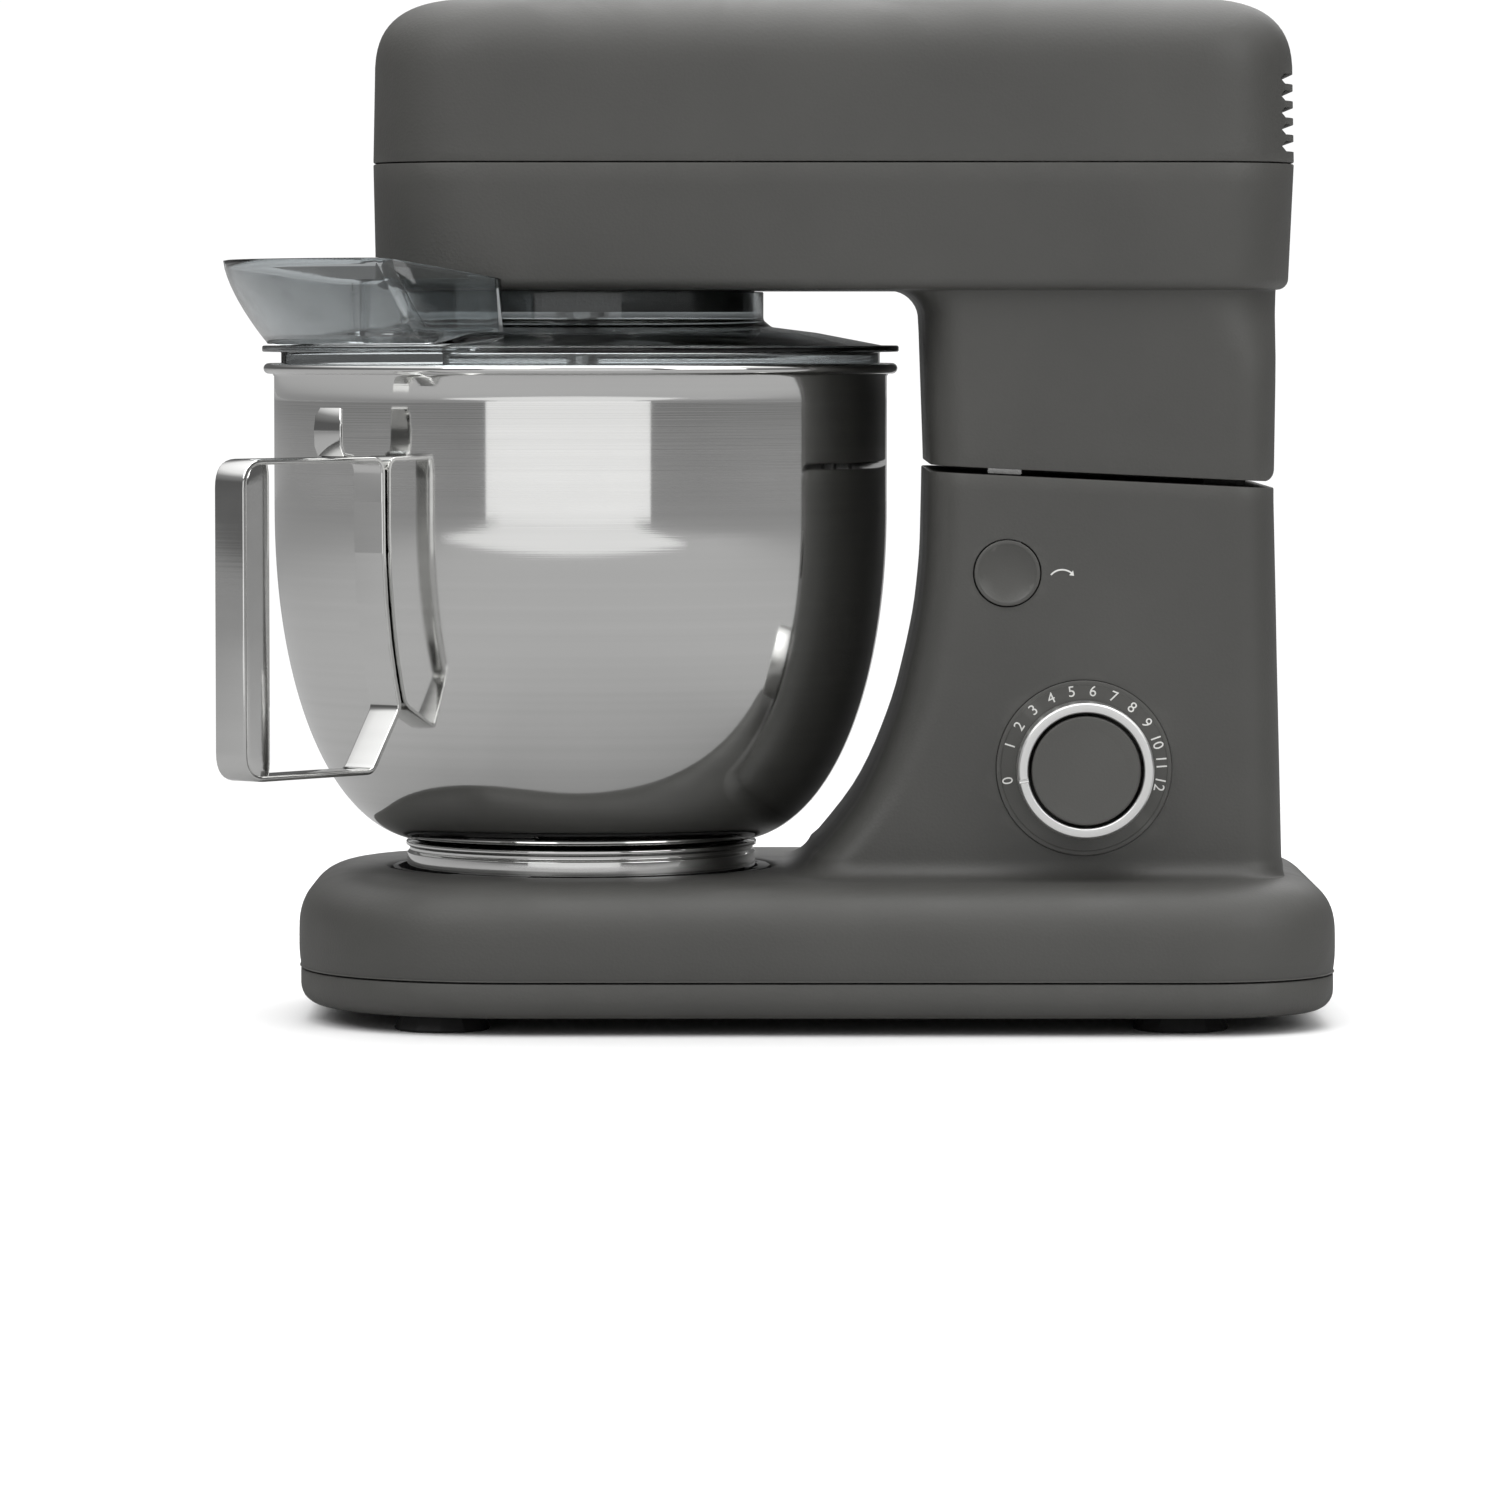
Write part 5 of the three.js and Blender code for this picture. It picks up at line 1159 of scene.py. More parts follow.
class MIXER_OT_handle(bpy.types.Operator):
    """Strap handle welded to the bowl, with its hollow grip and thumb tab"""

    bl_idname = "mixer.handle"
    bl_label = "Bowl Handle"

    def execute(self, context):
        angle = math.radians(HANDLE_ANGLE)
        out = Vector((math.cos(angle), math.sin(angle)))
        side = Vector((-math.sin(angle), math.cos(angle)))
        low, top, reach = HANDLE_BOTTOM + STRAP / 2, HANDLE_TOP - STRAP / 2, HANDLE_REACH - STRAP / 2
        clear = STRAP / 2 + 0.5
        points = [(bowl_radius(top) + clear, top), (reach, top), (reach, low), (119, low)]
        radii = [5, 9, 9, 5]
        for z in (115, 126, 138, 152, 170, 188):
            points.append((bowl_radius(z) + clear, z))
            radii.append(6)
        strap = strap_loop("Bowl Handle", rounded_loop(points, radii), 7.0, STRAP, out, side)
        merge(strap, self.grip(out, side), self.tab(out, side))
        finished(strap, FINISHES["strap"], "bowl", "polished", "bowl_handle", sharp=30)
        return {"FINISHED"}

    def grip(self, out, side):
        """A hollow grip pressed from sheet, closed at both ends by the strap's curve."""
        half, inner = 6.5, HANDLE_REACH - GRIP_DEPTH
        outer = HANDLE_REACH - STRAP * 0.6
        bead = 0.45

        def build(bm):
            rows = []
            low, high = HANDLE_BOTTOM + STRAP * 0.6, HANDLE_TOP - STRAP * 0.6
            heights = [(low, 5.5), (low + 1.2, 3), (low + 3.2, 1), (low + 6, 0)]
            count = 12
            for k in range(count + 1):
                heights.append((low + 8 + (high - low - 16) * k / count, 0))
            heights += [(high - 6, 0), (high - 3.2, 1), (high - 1.2, 3), (high, 5.5)]
            for z, pull in heights:
                flat = []
                middle, depth = (inner + outer) / 2, (outer - inner) / 2 - pull * 0.5
                for across, along_out in section_points(depth, half, 0.2, 5):
                    radius = middle + across - pull * 0.3
                    ridge = bead * math.exp(-((along_out / 1.1) ** 2)) if across > depth - 0.3 else 0
                    place = out * (radius + ridge) + side * along_out
                    flat.append(bm.verts.new(at(place.x, place.y, z)))
                rows.append(flat)
            ring_faces(bm, rows)
            bm.faces.new(rows[0])
            bm.faces.new(reversed(rows[-1]))

        return new_object("Grip", mesh_from("Grip", build))

    def tab(self, out, side):
        """A thumb tab that stands on the top of the strap beside the bowl."""
        rises = [(128, 0.2), (132.6, 1), (134, 4), (134.2, 10), (133.8, 14.5), (132.6, 17)]
        path = [(reach, HANDLE_TOP + rise) for reach, rise in rises]

        def half_width(t):
            return 6.5 - 3.2 * max(0, t - 0.5) ** 2 * 4

        return strap_loop("Tab", path, half_width, 1.5, out, side, closed=False)


# ---------------------------------------------------------------------------------------------------------
# Splash guard and feed chute
# ---------------------------------------------------------------------------------------------------------

GUARD_LOW, GUARD_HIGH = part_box("splash_guard")
FLANGE = 240.7
FLANGE_RADIUS = (GUARD_HIGH.x - GUARD_LOW.x) / 2 / MM
SPIGOT_RADIUS = 109.0
COLLAR_RADIUS = 66.6
DOME_TOP = 250.2
COLLAR_TOP = GUARD_HIGH.z / MM
CHUTE_START, CHUTE_END = 185, 243


def guard_mesh(wall):
    corners = [
        (SPIGOT_RADIUS, GUARD_LOW.z / MM), (SPIGOT_RADIUS, FLANGE), (FLANGE_RADIUS, FLANGE),
        (FLANGE_RADIUS, FLANGE + 2.3), (SPIGOT_RADIUS + 1, FLANGE + 2.3), (SPIGOT_RADIUS - 23, FLANGE + 6.9),
        (COLLAR_RADIUS + 3, DOME_TOP - 0.5), (COLLAR_RADIUS, DOME_TOP + 2), (COLLAR_RADIUS, COLLAR_TOP),
        (COLLAR_RADIUS - wall, COLLAR_TOP), (COLLAR_RADIUS - wall, DOME_TOP - wall + 1),
        (SPIGOT_RADIUS - 23, FLANGE + 6.9 - wall), (SPIGOT_RADIUS - wall - 1, FLANGE + 0.6),
        (SPIGOT_RADIUS - wall, FLANGE - 1), (SPIGOT_RADIUS - wall, GUARD_LOW.z / MM),
    ]
    radii = [0, 0.6, 0.7, 0.8, 3, 14, 2.5, 2, 0.5, 0.5, 3, 14, 2, 1, 0]
    return turned("Splash Guard", rounded_profile(corners, radii, 5) , 160)


def dome_height(radius):
    """Height of the guard's upper face at a radius."""
    rows = [(COLLAR_RADIUS, DOME_TOP), (SPIGOT_RADIUS - 23, FLANGE + 6.9), (SPIGOT_RADIUS, FLANGE + 2.3)]
    return along(rows, radius)


HEAD_CLEARANCE = 3.4


def chute_row(t, inset=0.0):
    """Points round the chute's wall, t of the way up; inset draws them inwards."""
    flare = 1 - (1 - t) ** 1.5
    outer = 114 + 16 * flare - inset
    first, last = math.radians(CHUTE_START), math.radians(CHUTE_END + 1.8 - 4.3 * t)
    points = []
    rim, foot = 273.7, FLANGE + 2.9
    for k in range(41):
        angle = mix(first, last, k / 40)
        points.append((outer * math.cos(angle), outer * math.sin(angle), foot, rim))
    corner_x, corner_y = -22.0, -HEAD_HALF - HEAD_CLEARANCE - inset
    inner_foot, inner_rim = dome_height(87) + 0.6, 266.7
    start = points[-1]
    for k in range(1, 9):
        s = k / 8
        place = (mix(start[0], corner_x, s), mix(start[1], corner_y, s))
        points.append((*place, mix(foot, inner_foot, min(1, s * 2)), mix(rim, 266, s)))
    reach = 45 + HEAD_CLEARANCE + inset
    centre = (HEAD_X0 + 45, -HEAD_HALF + 45)
    for k in range(1, 17):
        angle = math.radians(270 - 90 * k / 16)
        place = (centre[0] + reach * math.cos(angle), centre[1] + reach * math.sin(angle))
        points.append((*place, inner_foot, inner_rim))
    front = (HEAD_X0 - HEAD_CLEARANCE - inset, -20.0)
    points.append((*front, inner_foot, inner_rim))
    left = points[0]
    for k in range(1, 12):
        s = k / 12
        x = mix(front[0], left[0], s)
        top = mix(inner_rim, rim, max(0, min(1, (-86 - x) / 40)))
        points.append((x, mix(front[1], left[1], s), mix(inner_foot, foot, min(1, s * 1.6)), top))
    flat = [(x, y, mix(low, high, t)) for x, y, low, high in points]
    after = flat[1:] + flat[:1]
    before = flat[-1:] + flat[:-1]
    return [
        tuple(0.25 * a + 0.5 * b + 0.25 * c for a, b, c in zip(*three)) for three in zip(before, flat, after)
    ]


class MIXER_OT_guard(bpy.types.Operator):
    """Clear splash guard and its feed chute"""

    bl_idname = "mixer.guard"
    bl_label = "Splash Guard and Feed Chute"

    def execute(self, context):
        wall = context.scene.mixer_sizes.guard_wall / MM
        guard = guard_mesh(wall)
        mouth_rows = [[at(x, y, z + lift) for x, y, z in chute_row(0, 4.0)] for lift in (-30, 20)]
        cut(guard, loft("Mouth", mouth_rows, True, True))
        finished(guard, FINISHES["smoky"], "head", "smoky", "splash_guard")
        rows = [[at(*point) for point in chute_row(t / 10)] for t in range(11)]
        chute = loft("Feed Chute", rows)
        solidify(chute, wall * MM)
        rounding = chute.modifiers.new("Rounded Rim", "BEVEL")
        rounding.width, rounding.segments, rounding.limit_method = 0.0004, 2, "ANGLE"
        apply_modifiers(chute)
        finished(chute, FINISHES["chute"], "head", "smoky", "feed_chute", sharp=50)
        return {"FINISHED"}


# ---------------------------------------------------------------------------------------------------------
# Speed dial and tilt button
# ---------------------------------------------------------------------------------------------------------

DISC_LOW, DISC_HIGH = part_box("number_disc")
DIAL = (DISC_LOW + DISC_HIGH) / 2
RING_LOW, RING_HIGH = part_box("knob_ring")
KNOB_LOW, KNOB_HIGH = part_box("speed_knob")
BUTTON_LOW, BUTTON_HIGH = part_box("tilt_button")
SIDE_FACE = -73.0


def dial_centre(y):
    return Vector((DIAL.x, y, DIAL.z))


def flat_text(body, height, thickness):
    """Upright text as a mesh in the XY plane, centred on the origin, height in metres."""
    curve = bpy.data.curves.new(body, "FONT")
    curve.body = body
    curve.size = height / 0.72
    curve.align_x, curve.align_y = "CENTER", "CENTER"
    curve.extrude = thickness / 2
    curve.resolution_u = 6
    text = new_object(body, curve)
    bpy.context.view_layer.update()
    mesh = bpy.data.meshes.new_from_object(text.evaluated_get(bpy.context.evaluated_depsgraph_get()))
    bpy.data.objects.remove(text)
    middle = (min(v.co.y for v in mesh.vertices) + max(v.co.y for v in mesh.vertices)) / 2
    mesh.transform(Matrix.Translation((0, -middle, 0)))
    return mesh


def numeral_angle(number, last):
    """Angle of a dial number about the dial's centre, from +X; the first stands a little apart."""
    if number == 0:
        return 189.4
    return 163.0 - (number - 1) * 174.9 / (last - 1)


class MIXER_OT_dial(bpy.types.Operator):
    """Number disc, speed knob and its satin ring"""

    bl_idname = "mixer.dial"
    bl_label = "Speed Dial"

    def execute(self, context):
        self.disc(context.scene.mixer_sizes)
        self.ring()
        self.face()
        return {"FINISHED"}

    def disc(self, sizes):
        radius = (DISC_HIGH.x - DISC_LOW.x) / 2 / MM
        depth = (DISC_HIGH.y - DISC_LOW.y) / MM
        corners = [
            (12, 0), (radius, 0), (radius, depth), (radius - 1.4, depth),
            (radius - 1.8, depth - 0.25), (12, depth - 0.25),
        ]
        profile = rounded_profile(corners, [0, 0.2, 0.4, 0.2, 0.2, 0], 3)
        profile.append((12, 0))
        disc = turned_across("Number Disc", profile, dial_centre(DISC_HIGH.y))
        face_y = DISC_LOW.y + 0.00025
        circle = 0.0276  # radius that the middles of the numbers stand on
        meshes = []
        for number in range(sizes.numerals + 1):
            angle = math.radians(numeral_angle(number, sizes.numerals))
            mesh = flat_text(str(number), sizes.numeral, 0.00016)
            lean = angle - math.pi / 2
            x, z = DIAL.x + circle * math.cos(angle), DIAL.z + circle * math.sin(angle)
            place = Matrix.Translation((x, face_y, z))
            turn = Matrix.Rotation(math.pi / 2, 4, "X") @ Matrix.Rotation(lean, 4, "Z")
            mesh.transform(place @ turn)
            meshes.append(mesh)
        finished(disc, FINISHES["knob_face"], "stand", "knob_face", "number_disc")
        disc.data.materials.append(FINISHES["print"])
        bm = bmesh.new()
        bm.from_mesh(disc.data)
        for mesh in meshes:
            before = len(bm.faces)
            bm.from_mesh(mesh)
            bm.faces.ensure_lookup_table()
            for face in bm.faces[before:]:
                face.material_index = 1
                face.smooth = False
        bm.to_mesh(disc.data)
        bm.free()

    def ring(self):
        outer = (RING_HIGH.x - RING_LOW.x) / 2 / MM
        depth = (RING_HIGH.y - RING_LOW.y) / MM
        inner = 20.5
        corners = [
            (inner, 0), (outer - 0.3, 0), (outer, 0.4), (outer, depth - 0.7), (outer - 0.6, depth),
            (inner + 0.4, depth), (inner, depth - 0.5), (inner, 0),
        ]
        profile = rounded_profile(corners, [0, 0.3, 0.3, 0.4, 0.4, 0.3, 0.3, 0], 5)
        ring = turned_across("Knob Ring", profile, dial_centre(RING_HIGH.y), 160)
        angle = math.radians(189.4)
        outwards = Vector((math.cos(angle), 0, math.sin(angle)))
        mark = dial_centre(RING_LOW.y) + outwards * ((outer + inner) / 2 * MM)
        along_ring = outwards * 0.0016
        groove = rod("Mark", mark - along_ring, mark + along_ring, 0.0007, 16)
        cut(ring, groove)
        finished(ring, FINISHES["satin"], "knob", "satin", "knob_ring", sharp=28)

    def face(self):
        radius = (KNOB_HIGH.x - KNOB_LOW.x) / 2 / MM
        depth = (DISC_LOW.y - KNOB_LOW.y) / MM
        corners = [
            (0, 1.5), (radius, 1.5), (radius, depth - 0.5), (radius - 0.5, depth), (radius - 5, depth - 0.25),
            (0, depth - 0.45),
        ]
        profile = rounded_profile(corners, [0, 0.3, 0.4, 0.4, 3, 0], 5)
        face = turned_across("Speed Knob", profile, dial_centre(DISC_LOW.y), 128, closed=False)
        stem_profile = [(0, -14.6), (3.6, -14.6), (4, -14.2), (4, 1.6), (0, 1.6)]
        stem = turned_across("Knob Stem", stem_profile, dial_centre(DISC_LOW.y), 32, closed=False)
        join(face, stem)
        finished(face, FINISHES["knob_face"], "knob", "knob_face", "speed_knob")


def button_centre(y):
    middle = (BUTTON_LOW + BUTTON_HIGH) / 2
    return Vector((middle.x, y, middle.z))


class MIXER_OT_button(bpy.types.Operator):
    """Dished tilt button and the printed arrow beside it"""

    bl_idname = "mixer.button"
    bl_label = "Tilt Button"

    def execute(self, context):
        radius = (BUTTON_HIGH.z - BUTTON_LOW.z) / 2 / MM
        length = (BUTTON_HIGH.y - BUTTON_LOW.y) / MM
        corners = [(0, 0), (3.5, 0), (3.5, length - 7), (radius - 1, length - 7), (radius, length - 6.2)]
        corners += [(radius, length), (radius - 1.2, length)]
        radii = [0, 0.4, 0.3, 0.3, 0.3, 0.5, 0.4]
        rows = 18
        for k in range(rows, -1, -1):
            corners.append(((radius - 1.8) * k / rows, length - 2.2 + 1.9 * (k / rows) ** 2))
            radii.append(0.3 if k == rows else 0)
        profile = rounded_profile(corners, radii, 4)
        button = turned_across("Tilt Button", profile, button_centre(BUTTON_HIGH.y), 96, closed=False)
        finished(button, FINISHES["knob_face"], "button", "knob_face", "tilt_button")
        arrow = self.arrow()
        finished(arrow, FINISHES["print"], "stand", "knob_face")
        return {"FINISHED"}

    def arrow(self, radius=5.2, half_line=0.28, thickness=0.12):
        """A short arc with a head at one end, standing just proud of the column's side."""
        middle_x, middle_z = 172.6, 158.4
        start, end, steps = 140, 52, 20
        edge = []
        for side in (1, -1):
            run = range(steps + 1) if side > 0 else range(steps, -1, -1)
            for k in run:
                angle = math.radians(mix(start, end, k / steps))
                r = radius + side * half_line
                edge.append((r * math.cos(angle), r * math.sin(angle)))
            if side > 0:
                angle, tip = math.radians(end), math.radians(end - 16)
                for r in (radius + 1.1, None, radius - 1.1):
                    if r is None:
                        edge.append((radius * math.cos(tip), radius * math.sin(tip)))
                    else:
                        edge.append((r * math.cos(angle), r * math.sin(angle)))
        front, back = SIDE_FACE - thickness, SIDE_FACE + 0.3

        def build(bm):
            faces = []
            for y in (front, back):
                faces.append([bm.verts.new(at(middle_x + x, y, middle_z + z)) for x, z in edge])
            ring_faces(bm, faces)
            bm.faces.new(faces[0])
            bm.faces.new(reversed(faces[1]))

        return new_object("Tilt Arrow", mesh_from("Tilt Arrow", build))


# ---------------------------------------------------------------------------------------------------------
# Geometry node trees
# ---------------------------------------------------------------------------------------------------------

GEOMETRY = "NodeSocketGeometry"
MATERIAL = "NodeSocketMaterial"
OBJECT = "NodeSocketObject"
INTEGER = "NodeSocketInt"


def bar_tree():
    """A round bar along a curve."""
    tree, entry, leave = new_group(
        "Bar Along Path", "GeometryNodeTree",
        [
            ("Path", GEOMETRY, None), ("Radius", FLOAT, 0.004), ("Sides", INTEGER, 20),
            ("Material", MATERIAL, None),
        ],
        [("Bar", GEOMETRY)],
    )
    round_inputs = {"Radius": entry["Radius"], "Resolution": entry["Sides"]}
    section = add(tree, "GeometryNodeCurvePrimitiveCircle", round_inputs)
    bar = add(
        tree, "GeometryNodeCurveToMesh",
        {"Curve": entry["Path"], "Profile Curve": section.outputs[0], "Fill Caps": True},
    )
    finish_tree(tree, bar.outputs[0], entry, leave)
    return tree


def row_tree():
    """Copies of a shape in a straight row."""
    tree, entry, leave = new_group(
        "Row of Copies", "GeometryNodeTree",
        [
            ("Shape", GEOMETRY, None), ("Count", INTEGER, 5), ("Step", VECTOR, None),
            ("Material", MATERIAL, None),
        ],
        [("Row", GEOMETRY)],
    )
    line = add(tree, "GeometryNodeMeshLine", {"Count": entry["Count"], "Offset": entry["Step"]})
    copies = add(
        tree, "GeometryNodeInstanceOnPoints", {"Points": line.outputs[0], "Instance": entry["Shape"]},
    )
    finish_tree(tree, copies.outputs[0], entry, leave)
    return tree


def fastener_tree():
    """A fastener on every point of the mesh, turned a little differently each time."""
    tree, entry, leave = new_group(
        "Fasteners", "GeometryNodeTree",
        [
            ("Points", GEOMETRY, None), ("Fastener", OBJECT, None), ("Seed", INTEGER, 3),
            ("Material", MATERIAL, None),
        ],
        [("Fasteners", GEOMETRY)],
    )
    shape = add(tree, "GeometryNodeObjectInfo", {"Object": entry["Fastener"], "As Instance": True})
    spin = add(tree, "FunctionNodeRandomValue", {"Seed": entry["Seed"]}, data_type="FLOAT")
    turn = add(tree, "ShaderNodeCombineXYZ", {2: maths(tree, "MULTIPLY", spin.outputs[1], math.pi)})
    copies = add(
        tree, "GeometryNodeInstanceOnPoints",
        {"Points": entry["Points"], "Instance": shape.outputs["Geometry"], "Rotation": turn.outputs[0]},
    )
    finish_tree(tree, copies.outputs[0], entry, leave)
    return tree


def finish_tree(tree, geometry, entry, leave):
    real = add(tree, "GeometryNodeRealizeInstances", {"Geometry": geometry})
    dressed = add(
        tree, "GeometryNodeSetMaterial", {"Geometry": real.outputs[0], "Material": entry["Material"]},
    )
    tree.links.new(dressed.outputs[0], leave[0])


TREES = {}


def grown(name, source, build_tree, values):
    """The plain mesh that a node tree makes from a source object, which is removed."""
    if build_tree.__name__ not in TREES:
        TREES[build_tree.__name__] = build_tree()
    tree = TREES[build_tree.__name__]
    modifier = source.modifiers.new("Nodes", "NODES")
    modifier.node_group = tree
    sockets = {item.name: item.identifier for item in tree.interface.items_tree if item.in_out == "INPUT"}
    for label, value in values.items():
        modifier[sockets[label]] = value
    bpy.context.view_layer.update()
    mesh = bpy.data.meshes.new_from_object(source.evaluated_get(bpy.context.evaluated_depsgraph_get()))
    mesh.name = name
    source.modifiers.clear()
    bpy.data.objects.remove(source)
    return new_object(name, mesh)


def curve_object(name, points, cyclic=False):
    curve = bpy.data.curves.new(name, "CURVE")
    curve.dimensions = "3D"
    spline = curve.splines.new("POLY")
    spline.points.add(len(points) - 1)
    for point, place in zip(spline.points, points):
        point.co = (*place, 1)
    spline.use_cyclic_u = cyclic
    return new_object(name, curve)


def smooth_path(points, closed, steps=10):
    """A Catmull-Rom curve through points."""
    count = len(points)
    spans = count if closed else count - 1
    result = []
    for i in range(spans):
        if closed:
            p0, p1, p2, p3 = (points[(i + k) % count] for k in (-1, 0, 1, 2))
        else:
            p0, p1, p2, p3 = (points[min(max(i + k, 0), count - 1)] for k in (-1, 0, 1, 2))
        for step in range(steps):
            t = step / steps
            square = p0 * 2 - p1 * 5 + p2 * 4 - p3
            cube = p1 * 3 - p0 - p2 * 3 + p3
            result.append((p1 * 2 + (p2 - p0) * t + square * t * t + cube * t**3) * 0.5)
    if not closed:
        result.append(points[-1])
    return result


# ---------------------------------------------------------------------------------------------------------
# Beater
# ---------------------------------------------------------------------------------------------------------

PLANET_Y = 30
BAR = 8.8
BEATER_REACH = 68
BLADE_SEAT = BEATER_REACH - 13
BLADE_REACH = 78.5
HUB_TOP = 233.0
SHIELD_Z = HUB_TOP - 15
FRAME_TOP = HUB_TOP - 26
FRAME_BOTTOM = 71.9
PLAIN_SIDE = [
    (-0.22, 1), (-0.62, 0.96), (-0.93, 0.79), (-1, 0.55), (-0.9, 0.36), (-0.64, 0.15), (-0.3, 0.02), (0.2, 0),
]
BLADE_SIDE = [(0.52, 0.1), (0.85, 0.36), (1, 0.6), (0.92, 0.82), (0.6, 0.97), (0.24, 1)]


def in_frame(u, v, reach=BEATER_REACH):
    """A point in the beater's plane: u across from its shaft, v up its frame."""
    return at(0, PLANET_Y + u * reach, FRAME_BOTTOM + v * (FRAME_TOP - FRAME_BOTTOM))


def beater_bar(name, points, closed=False, radius=BAR / 2):
    path = curve_object(name, points, closed)
    values = {"Radius": radius * MM, "Sides": 20, "Material": FINISHES["coated"]}
    bar = grown(name, path, bar_tree, values)
    bm = bmesh.new()
    bm.from_mesh(bar.data)
    bmesh.ops.remove_doubles(bm, verts=bm.verts, dist=1e-6)
    bmesh.ops.recalc_face_normals(bm, faces=bm.faces)
    bm.to_mesh(bar.data)
    bm.free()
    return bar


class MIXER_OT_beater(bpy.types.Operator):
    """Coated flat beater with its hub and shield, and the silicone blade"""

    bl_idname = "mixer.beater"
    bl_label = "Flat Beater"

    def execute(self, context):
        loop = [in_frame(u, v) for u, v in PLAIN_SIDE] + [in_frame(u, v, BLADE_SEAT) for u, v in BLADE_SIDE]
        rim = beater_bar("Beater", smooth_path(loop, True, 8), True)
        knee = in_frame(-0.06, 0.5)
        stem = [in_frame(0, 1.08), in_frame(-0.005, 0.8), in_frame(-0.03, 0.6), knee, in_frame(-0.2, 0.39)]
        stem += [in_frame(-0.4, 0.26), in_frame(-0.58, 0.13)]
        branch = [in_frame(-0.05, 0.47), in_frame(0.1, 0.43), in_frame(0.35, 0.35)]
        branch.append(in_frame(0.72, 0.25, BLADE_SEAT))
        parts = [
            beater_bar("Stem", smooth_path(stem, False, 6), radius=BAR / 2 - 0.15),
            beater_bar("Branch", smooth_path(branch, False, 6), radius=BAR / 2 - 0.3),
            self.hub(),
        ]
        join(rim, *parts)
        pin_low, pin_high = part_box("tool_pin")
        shaft_low, shaft_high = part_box("tool_shaft")
        pin_z = (pin_low.z + pin_high.z) / 2 / MM
        half = (pin_high.z - pin_low.z) / 2 / MM + 0.35
        shaft = (shaft_high.x - shaft_low.x) / 2 / MM + 0.3
        bore_start = at(0, PLANET_Y, shaft_low.z / MM - 1)
        bore = rod("Bore", bore_start, at(0, PLANET_Y, HUB_TOP + 5), shaft * MM, 48)
        entry = block("Entry", (-20, PLANET_Y - half, pin_z - half), (20, PLANET_Y + half, HUB_TOP + 5))
        lock = block("Lock", (-20, PLANET_Y - half - 4, pin_z - half), (20, PLANET_Y + half, pin_z + half))
        cut(rim, bore, entry, lock)
        finished(rim, FINISHES["coated"], "tool", "coated", "beater_frame", sharp=40)
        self.blade()
        return {"FINISHED"}

    def hub(self):
        shield = 34.3
        corners = [
            (0, FRAME_TOP - 4), (6, FRAME_TOP - 4), (12.2, FRAME_TOP + 5), (12.2, SHIELD_Z - 3),
            (15, SHIELD_Z - 1),
            (shield - 0.6, SHIELD_Z - 2.4), (shield, SHIELD_Z - 1.4), (shield - 1, SHIELD_Z - 0.4),
            (15.5, SHIELD_Z + 1), (12.2, SHIELD_Z + 3), (12.2, HUB_TOP), (0, HUB_TOP),
        ]
        radii = [0, 3, 4, 2, 6, 0.5, 0.7, 0.5, 6, 2, 0.8, 0]
        centre = Vector((AXIS.x, at(0, PLANET_Y, 0).y, 0))
        return turned("Hub", rounded_profile(corners, radii, 5), 96, centre, closed=False)

    def blade(self):
        """A thin lip outside the frame, thickening into a bead that grips the bar, with two clip notches."""
        edge = [(0.2, 0.0), (0.62, 0.15), (0.86, 0.36), (1, 0.6), (0.99, 0.8), (0.78, 0.95), (0.48, 0.985)]
        lip = smooth_path([in_frame(u, v, BLADE_REACH) for u, v in edge], False, 9)
        seat = [(0.32, 0.045), (0.66, 0.235), (0.9, 0.42), (1, 0.6), (0.96, 0.78), (0.8, 0.9), (0.6, 0.955)]
        inner = smooth_path([in_frame(u, v, BLADE_SEAT) for u, v in seat], False, 9)
        half_bar = (BAR / 2 + 0.25) * MM

        def build(bm):
            rows = []
            count = len(lip)
            for k, (tip, root) in enumerate(zip(lip, inner)):
                run = tip - root
                reach = run.length
                out = run.normalized()
                notch = any(abs(k / count - place) < 0.03 for place in (0.3, 0.72))
                grip = 0.72 if notch else 1.0
                start = root + out * half_bar * 0.98
                fade = min(1, k / 3, (count - 1 - k) / 3) * 0.6 + 0.4
                section = []
                gripping = [(0.0, 3.4 * grip), (0.12, 3.6 * grip), (0.3, 2.4 * grip)]
                widths = gripping + [(0.55, 1.5), (0.93, 0.9), (1.0, 0.35)]
                for s, half in widths:
                    place = start.lerp(start + out * max(0.0015, reach - half_bar), s)
                    section.append((place, half * fade))
                row = [bm.verts.new(place + Vector((half * MM, 0, 0))) for place, half in section]
                row += [bm.verts.new(place - Vector((half * MM, 0, 0))) for place, half in reversed(section)]
                rows.append(row)
            ring_faces(bm, rows)
            bm.faces.new(rows[0])
            bm.faces.new(reversed(rows[-1]))

        blade = new_object("Wiper Blade", mesh_from("Wiper Blade", build))
        finished(blade, FINISHES["silicone"], "tool", "silicone", "wiper_blade", sharp=45)


# ---------------------------------------------------------------------------------------------------------
# Rear outlet, fasteners and the pieces inside
# ---------------------------------------------------------------------------------------------------------

SLOT_PITCH = 6.0
SLOT_COUNT = 5
SLOT_LOW = 314.0


